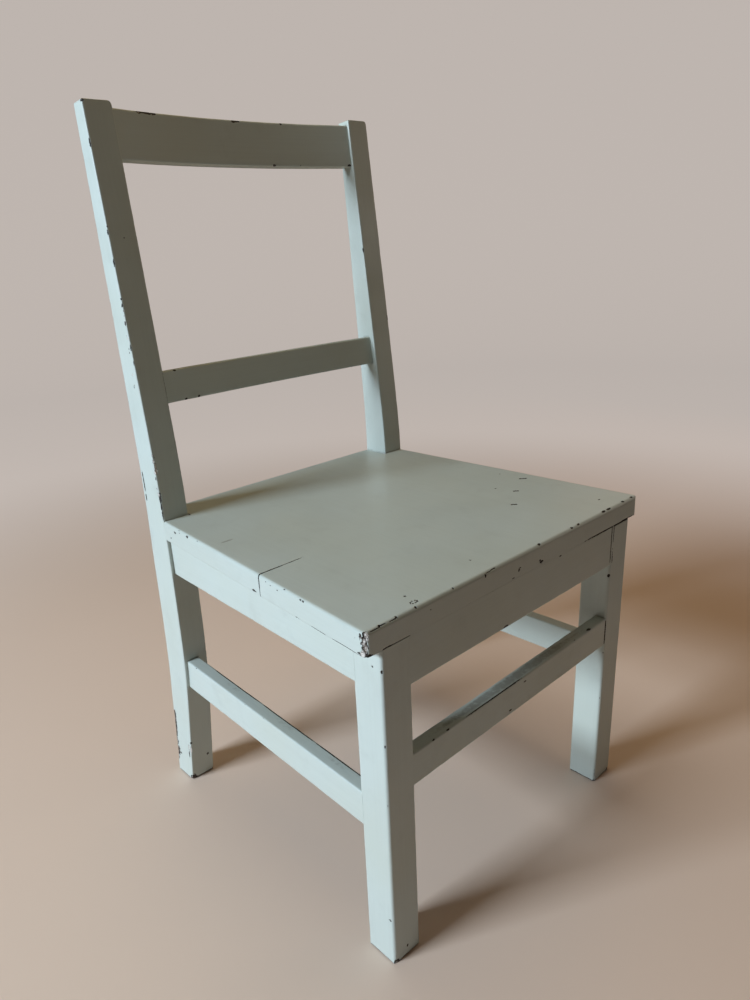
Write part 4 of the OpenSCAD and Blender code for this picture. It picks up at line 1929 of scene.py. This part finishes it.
class Weathering:
    """Turns a timber's plain shape into its worn mesh."""

    # For each cut of the mesh: how far round a mark it goes, and the widest mark that has it.
    LEVELS = ((2.6, 9.0), (1.3, 1.7))
    WHOLE = -3.0
    ARRIS_BAND = 7
    ARRIS_WEAR = 0.22

    def __init__(self, joinery: Joinery) -> None:
        """Draws the random fields once for the whole chair.

        Args:
            joinery: where parts meet.
        """
        self.joinery = joinery
        self.waves = SoftNoise(SEED)
        self.grit = SoftNoise(SEED + 1)

    def piece(self, timber: Timber, material: bpy.types.Material) -> bpy.types.Object:
        """Makes the finished piece of one timber.

        Args:
            timber: the timber.
            material: its finish.

        Returns:
            The piece's object, in place.
        """
        random = np.random.default_rng([SEED, *timber.name.encode()])
        own, faces = timber.base_points()
        marks = settled(timber, own) + timber.random_nicks(random)
        mesh = bpy.data.meshes.new(timber.name)
        placed = timber.place(*own.T) * MM
        mesh.from_pydata(placed.tolist(), [], [tuple(f) for f in np.asarray(faces, object)])
        grain = mesh.attributes.new("grain", "FLOAT_VECTOR", "POINT")
        grain.data.foreach_set("vector", (own * MM).astype(np.float32).ravel())
        self.refine(mesh, marks)
        self.wear(timber, mesh, marks)
        mark_sharp(mesh)
        mesh.materials.append(material)
        piece = bpy.data.objects.new(timber.name, mesh)
        bpy.context.scene.collection.objects.link(piece)
        return piece

    def refine(self, mesh: bpy.types.Mesh, marks: Sequence[Mark]) -> None:
        """Cuts the mesh finer round the marks.

        Args:
            mesh: the mesh, which is changed.
            marks: the timber's marks.
        """
        work = bmesh.new()
        work.from_mesh(mesh)
        layer = work.verts.layers.float_vector["grain"]
        for margin, most in self.LEVELS:
            chosen = [m for m in marks if min(m.reach) <= most]
            if not chosen:
                continue
            centres = np.array([m.at for m in chosen])
            reaches = np.array([m.reach for m in chosen]) + margin
            middles = np.array([sum((v[layer] for v in f.verts), Vector()) / len(f.verts)
                                for f in work.faces]) / MM
            inside = np.zeros(len(middles), bool)
            for centre, reach in zip(centres, reaches):
                inside |= (((middles - centre) / reach) ** 2).sum(1) < 1
            work.faces.ensure_lookup_table()
            edges = {e for i in np.flatnonzero(inside) for e in work.faces[i].edges}
            bmesh.ops.subdivide_edges(
                work, edges=sorted(edges, key=lambda e: e.index), cuts=1, use_grid_fill=True
            )
            work.edges.index_update()
        work.to_mesh(mesh)
        work.free()

    @staticmethod
    def directions(timber: Timber, mesh: bpy.types.Mesh, own: Array) -> Array:
        """The surface's direction at each point, square to the timber where an end is hidden.

        Args:
            timber: the timber.
            mesh: its mesh.
            own: its points in its own coordinates.

        Returns:
            One unit vector for each point.
        """
        normals = read_vectors(mesh.vertex_normals, "vector", len(own))
        for place, end in zip(timber.span(), timber.ends()):
            if not end.steps():
                normals[np.abs(own[:, 0] - place) < 0.01, timber.AXES[0]] = 0
        size = np.linalg.norm(normals, axis=1, keepdims=True)
        return normals / np.maximum(size, 1e-6)

    def wear(self, timber: Timber, mesh: bpy.types.Mesh, marks: Sequence[Mark]) -> None:
        """Moves the surface and writes the wear that the finish reads.

        Args:
            timber: the timber.
            mesh: its mesh, which is changed.
            marks: its marks.
        """
        count = len(mesh.vertices)
        own = read_vectors(mesh.attributes["grain"].data, "vector", count) / MM
        points = read_vectors(mesh.vertices, "co", count) / MM
        normals = self.directions(timber, mesh, own)
        edge = timber.edge_distance(own)
        bare = np.full(count, self.WHOLE)
        scuff = np.zeros(count)
        sink = np.zeros(count)
        primer = np.zeros(count)
        ragged = 0.28 * self.grit.sample(points, 1.7) + 0.2 * self.grit.sample(points, 4.0)
        for mark in marks:
            offset = np.abs((own - mark.at) / mark.reach)
            torn = 1.0
            if mark.kind is Damage.CRACK:
                offset[:, np.argmax(mark.reach)] **= 4
                torn = 0.35
            share = 1 - np.sqrt((offset**2).sum(1))
            near = share > -2
            inside = (share[near] + torn * ragged[near]) * min(mark.reach)
            if mark.kind is Damage.SCUFF:
                scuff[near] = np.maximum(scuff[near], smooth_step(share[near], 0, 0.6))
                continue
            bare[near] = np.maximum(bare[near], inside)
            if mark.kind is Damage.FLAKE:
                primer[near] = np.maximum(primer[near], smooth_step(share[near], -0.5, 0.1))
            rough = 1 + 0.35 * self.grit.sample(points[near], 2.2)
            hollow = mark.depth * smooth_step(inside, -0.1, min(1.2, min(mark.reach))) * rough
            sink[near] = np.maximum(sink[near], hollow)
        waves = 0.16 * self.waves.sample(points, 85) + 0.05 * self.waves.sample(points, 21)
        arris = np.clip(1 - edge / self.ARRIS_BAND, 0, 1)
        worn = self.ARRIS_WEAR * arris**2 * (0.6 + self.waves.sample(points, 13))
        points += normals * (0.6 * waves - worn - sink)[:, None]
        mesh.vertices.foreach_set("co", (points * MM).astype(np.float32).ravel())
        # joint is the closeness to a corner with another part; the paint darkens there as painted shade with
        # some dirt.
        values = {"bare": bare, "arris": arris, "scuff": scuff, "primer": primer,
                  "joint": self.joinery.closeness(timber.name, points, normals)}
        for name, value in values.items():
            layer = mesh.attributes.new(name, "FLOAT", "POINT")
            layer.data.foreach_set("value", value.astype(np.float32))
        mesh.update()


def read_vectors(source: object, key: str, count: int) -> Array:
    """Reads vectors from Blender data.

    Args:
        source: the collection to read.
        key: its vector property.
        count: how many there are.

    Returns:
        One row for each vector.
    """
    flat = np.zeros(count * 3, np.float32)
    source.foreach_get(key, flat)
    return flat.reshape(-1, 3).astype(float)


def mark_sharp(mesh: bpy.types.Mesh) -> None:
    """Shades a closed mesh smooth, except over edges where its faces turn sharply.

    Args:
        mesh: the mesh, which is changed.
    """
    mesh.shade_smooth()
    normals = read_vectors(mesh.polygon_normals, "vector", len(mesh.polygons))
    edge = np.zeros(len(mesh.loops), np.int32)
    mesh.loops.foreach_get("edge_index", edge)
    sizes = np.zeros(len(mesh.polygons), np.int32)
    mesh.polygons.foreach_get("loop_total", sizes)
    face = np.repeat(np.arange(len(sizes)), sizes)
    pairs = face[np.argsort(edge, kind="stable")].reshape(-1, 2)
    turn = (normals[pairs[:, 0]] * normals[pairs[:, 1]]).sum(1)
    sharp = mesh.attributes.new("sharp_edge", "BOOLEAN", "EDGE")
    sharp.data.foreach_set("value", turn < math.cos(SHARP_ANGLE))


# ---------- blocks and screws ----------


@dataclass
class CornerBlock:
    """A sawn glue block in a corner under the seat, with its arrises knocked off.

    Args:
        node: the CAD node whose shape it keeps.
        chamfer: width of the bevel on its arrises.
    """

    node: bpy.types.Object
    chamfer: float = 0.9

    def piece(self, material: bpy.types.Material) -> bpy.types.Object:
        """Makes the block.

        Args:
            material: its finish.

        Returns:
            The piece's object.
        """
        work = bmesh.new()
        work.from_mesh(self.node.data)
        bmesh.ops.remove_doubles(work, verts=work.verts, dist=1e-6)
        bmesh.ops.dissolve_limit(
            work, angle_limit=math.radians(2), verts=work.verts, edges=work.edges
        )
        straight = [e for e in work.edges if e.is_manifold and e.calc_face_angle() > 0.5
                    and e.calc_length() > 8 * MM]
        bmesh.ops.bevel(
            work, geom=straight, offset=self.chamfer * MM, segments=2, profile=0.6,
            affect="EDGES", clamp_overlap=True,
        )
        bmesh.ops.triangulate(work, faces=work.faces)
        bmesh.ops.recalc_face_normals(work, faces=work.faces)
        mesh = bpy.data.meshes.new(self.node.name + "_looks")
        work.to_mesh(mesh)
        work.free()
        mesh.materials.append(material)
        piece = bpy.data.objects.new(self.node.name + "_looks", mesh)
        bpy.context.scene.collection.objects.link(piece)
        return piece


class Studio:
    """Plain paper sweep, soft lamps and the camera."""

    EYE = (-0.63503, -0.69349, 0.75386)
    TURNS = ((-42.633, "Z"), (90 - 19.232, "X"), (-2.852, "Z"))
    LENS = 27.259
    FLOOR_RADIUS = 3.6
    BEND = 1.0
    WALL_TOP = 3.4
    # Name, place, point it faces, width and height, power and tint of each lamp.
    LAMPS = (
        ("key", (-3.95, 0.84, 1.8), (0, 0, 0.4), (1.45, 0.8), 248, (0.72, 0.86, 1.0)),
        ("overhead", (0.2, 0.3, 2.3), (0, 0, 0.4), (1.8, 1.8), 12.5, (1.0, 0.77, 0.45)),
        ("warm_side", (2.1, 0.2, 1.2), (0, 0, 0.4), (1.6, 1.6), 3, (1.0, 0.55, 0.3)),
        ("warm_front", (1.9, -1.2, 1.0), (0.3, 0, 0.6), (0.9, 0.9), 2.8, (1.0, 0.9, 0.84)),
    )

    def sweep(self) -> bpy.types.Object:
        """Builds the round paper floor that bends up into a wall.

        Returns:
            The floor's object.
        """
        steps = 14
        outline = [(0.02, 0.0), (0.6, 0.0), (1.4, 0.0), (2.4, 0.0)]
        for step in range(steps + 1):
            angle = math.pi / 2 * step / steps
            outline.append((self.FLOOR_RADIUS + self.BEND * math.sin(angle),
                            self.BEND * (1 - math.cos(angle))))
        outline.append((self.FLOOR_RADIUS + self.BEND, self.WALL_TOP))
        turns = 96
        points = [(r * math.cos(t), r * math.sin(t), z) for r, z in outline
                  for t in np.linspace(0, 2 * math.pi, turns, endpoint=False)]
        faces = [(k * turns + i, k * turns + (i + 1) % turns,
                  (k + 1) * turns + (i + 1) % turns, (k + 1) * turns + i)
                 for k in range(len(outline) - 1) for i in range(turns)]
        faces.append(tuple(range(turns))[::-1])
        mesh = bpy.data.meshes.new("paper_sweep")
        mesh.from_pydata(points, [], [f[::-1] for f in faces])
        mesh.shade_smooth()
        mesh.materials.append(Backcloth("studio_paper").material())
        paper = bpy.data.objects.new("paper_sweep", mesh)
        bpy.context.scene.collection.objects.link(paper)
        return paper

    def lamp(
        self, name: str, at: Vector, aim: Vector, size: tuple[float, float], power: float,
        tint: tuple[float, float, float],
    ) -> None:
        """Hangs one soft lamp.

        Args:
            name: its name.
            at: its place in metres.
            aim: the point it faces.
            size: its width and height in metres.
            power: its power in watts.
            tint: its colour.
        """
        data = bpy.data.lights.new(name, "AREA")
        data.shape = "RECTANGLE"
        data.size, data.size_y = size
        data.energy = power
        data.color = tint
        lamp = bpy.data.objects.new(name, data)
        lamp.location = at
        lamp.rotation_euler = (aim - at).to_track_quat("-Z", "Y").to_euler()
        lamp.visible_camera = False
        bpy.context.scene.collection.objects.link(lamp)

    def light(self) -> None:
        """Hangs the window-like key lamp on the left and three weak warm ones."""
        for name, at, aim, size, power, tint in self.LAMPS:
            self.lamp(name, Vector(at), Vector(aim), size, power, tint)
        world = bpy.data.worlds.new("studio_world")
        world.use_nodes = True
        world.node_tree.nodes.clear()
        sky = NodeWriter(world.node_tree)
        dim = sky.add("ShaderNodeBackground", {"Color": (1.0, 0.88, 0.76, 1.0), "Strength": 0.01})
        pale = sky.add("ShaderNodeBackground", {"Color": Backcloth.shine, "Strength": Backcloth.glow})
        seen = sky.add("ShaderNodeLightPath").outputs["Is Camera Ray"]
        both = sky.add("ShaderNodeMixShader", {0: seen, 1: dim.outputs[0], 2: pale.outputs[0]})
        sky.add("ShaderNodeOutputWorld", {"Surface": both.outputs[0]})
        bpy.context.scene.world = world
        bpy.context.scene.view_settings.view_transform = "Standard"

    def camera(self) -> None:
        """Sets the camera at a standing person's view of the chair's front left corner."""
        data = bpy.data.cameras.new("view")
        data.sensor_width = 36
        data.lens = self.LENS
        camera = bpy.data.objects.new("view", data)
        view = Matrix.Translation(self.EYE)
        for angle, axis in self.TURNS:
            view = view @ Matrix.Rotation(math.radians(angle), 4, axis)
        camera.matrix_world = view
        bpy.context.scene.collection.objects.link(camera)
        bpy.context.scene.camera = camera


def hand_in(piece: bpy.types.Object, slot: str, *nodes: str) -> None:
    """Joins a piece to the frame and reports it.

    Args:
        piece: the finished piece.
        slot: the name of the material slot; not used.
        nodes: the CAD nodes it stands for.
    """
    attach(piece, "root")
    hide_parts(*nodes)
    log.info("%s: %d faces", piece.name, len(piece.data.polygons))


def survey_marks(
    timbers: dict[str, Timber], legs: dict[Side, FrontLeg], posts: dict[Side, BackPost]
) -> dict[str, list[Mark]]:
    """Collects the listed marks.

    Args:
        timbers: name to timber.
        legs: the front legs.
        posts: the back posts.

    Returns:
        Timber name to its marks.
    """
    survey = DamageSurvey(legs, posts, timbers["seat_board_front"])
    top, middle = timbers["top_rail"], timbers["middle_rail"]
    side = -float(legs[Side.LEFT].outer_at(390))
    return {
        "seat_board_front": survey.seat_front(),
        "seat_board_back": survey.seat_back(),
        "front_apron": survey.front_apron(),
        "left_apron": [Mark((side, 45.7, 390.6), (6, 1.3, 1.3), 0.4)],
        "front_leg_left": survey.left_leg(),
        "front_leg_right": survey.right_leg_marks(),
        "back_post_left": survey.left_post(),
        "back_post_right": survey.right_post_marks(),
        "top_rail": survey.rail(top, ((-145, 1, 4), (-134, 1, 8), (-125, 1, 4), (-4, 1, 7), (70, 1, 2),
                                      (50, -1, 2.5), (178, -1, 4))),
        "middle_rail": survey.rail(middle, ((-160, 1, 2.5), (-150, -1, 2.5), (-130, -1, 2.0))),
        "front_stretcher": survey.front_stretcher(timbers["front_stretcher"]),
        "left_stretcher": survey.left_stretcher(timbers["left_stretcher"]),
    }


def main() -> None:
    """Builds the chair's looks, part by part, and the studio round it."""
    logging.basicConfig(level=logging.INFO, format="%(name)s %(message)s")
    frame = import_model()
    nodes = frame["nodes"]
    studio = Studio()
    studio.camera()
    studio.sweep()
    studio.light()
    seat_paint = OldPaint("seat_paint", top=colour(187, 196, 190), aged=colour(184, 190, 179),
                          gloss_from=0.3, gloss_to=0.42)
    paints = {"painted_frame": OldPaint("frame_paint").material(), "painted_seat": seat_paint.material()}
    weathering = Weathering(Joinery(nodes))
    legs = {s: FrontLeg("front_leg_" + s.word, side=s, arris=3.5) for s in Side}
    posts = {s: BackPost("back_post_" + s.word, side=s, arris=1.5) for s in Side}
    timbers: list[Timber] = [*legs.values(), *posts.values()]
    right_post = posts[Side.RIGHT]
    for s in Side:
        timbers.append(SidePiece(s.word + "_apron", side=s, leg=legs[s], post=posts[s], thickness=20))
        timbers.append(SidePiece(s.word + "_stretcher", side=s, leg=legs[s], post=posts[s], thickness=18))
    left_leg = legs[Side.LEFT]
    timbers.append(FrontPiece("front_apron", leg=left_leg, height=54.5, top_arris=0.06, bridged=True))
    timbers.append(FrontPiece("front_stretcher", leg=left_leg, height=39.5, thickness=17, rise=5))
    timbers.append(BackApron("back_apron", post=right_post))
    timbers.append(SeatBoard("seat_board_front", post=right_post))
    timbers.append(SeatBoard("seat_board_back", post=right_post, front_board=False))
    top_height, middle_height = 56, 41
    below_post_top, above_seat = 7, 144.5
    lean = math.cos(right_post.rake)
    top_level = right_post.height - below_post_top - lean * top_height / 2
    middle_level = right_post.seat_top + above_seat + lean * middle_height / 2
    timbers.append(BowedRail("top_rail", post=right_post, level=top_level, height=top_height,
                             thickness=17, bow=14, setback=3.5))
    timbers.append(BowedRail("middle_rail", post=right_post, level=middle_level, height=middle_height))
    found = survey_marks({timber.name: timber for timber in timbers}, legs, posts)
    for timber in timbers:
        timber.marks = found.get(timber.name, [])
        piece = weathering.piece(timber, paints[timber.slot])
        piece.name = timber.name + "_looks"
        hand_in(piece, timber.slot, timber.name)
    wood = BareWood("glue_block_wood").material()
    for name in sorted(nodes):
        if name.startswith("corner_block"):
            hand_in(CornerBlock(nodes[name]).piece(wood), "bare_wood", name)
    nodes["seat_screws"].data.materials.clear()
    nodes["seat_screws"].data.materials.append(RustySteel("screw_steel").material())


if __name__ == "__main__":
    main()
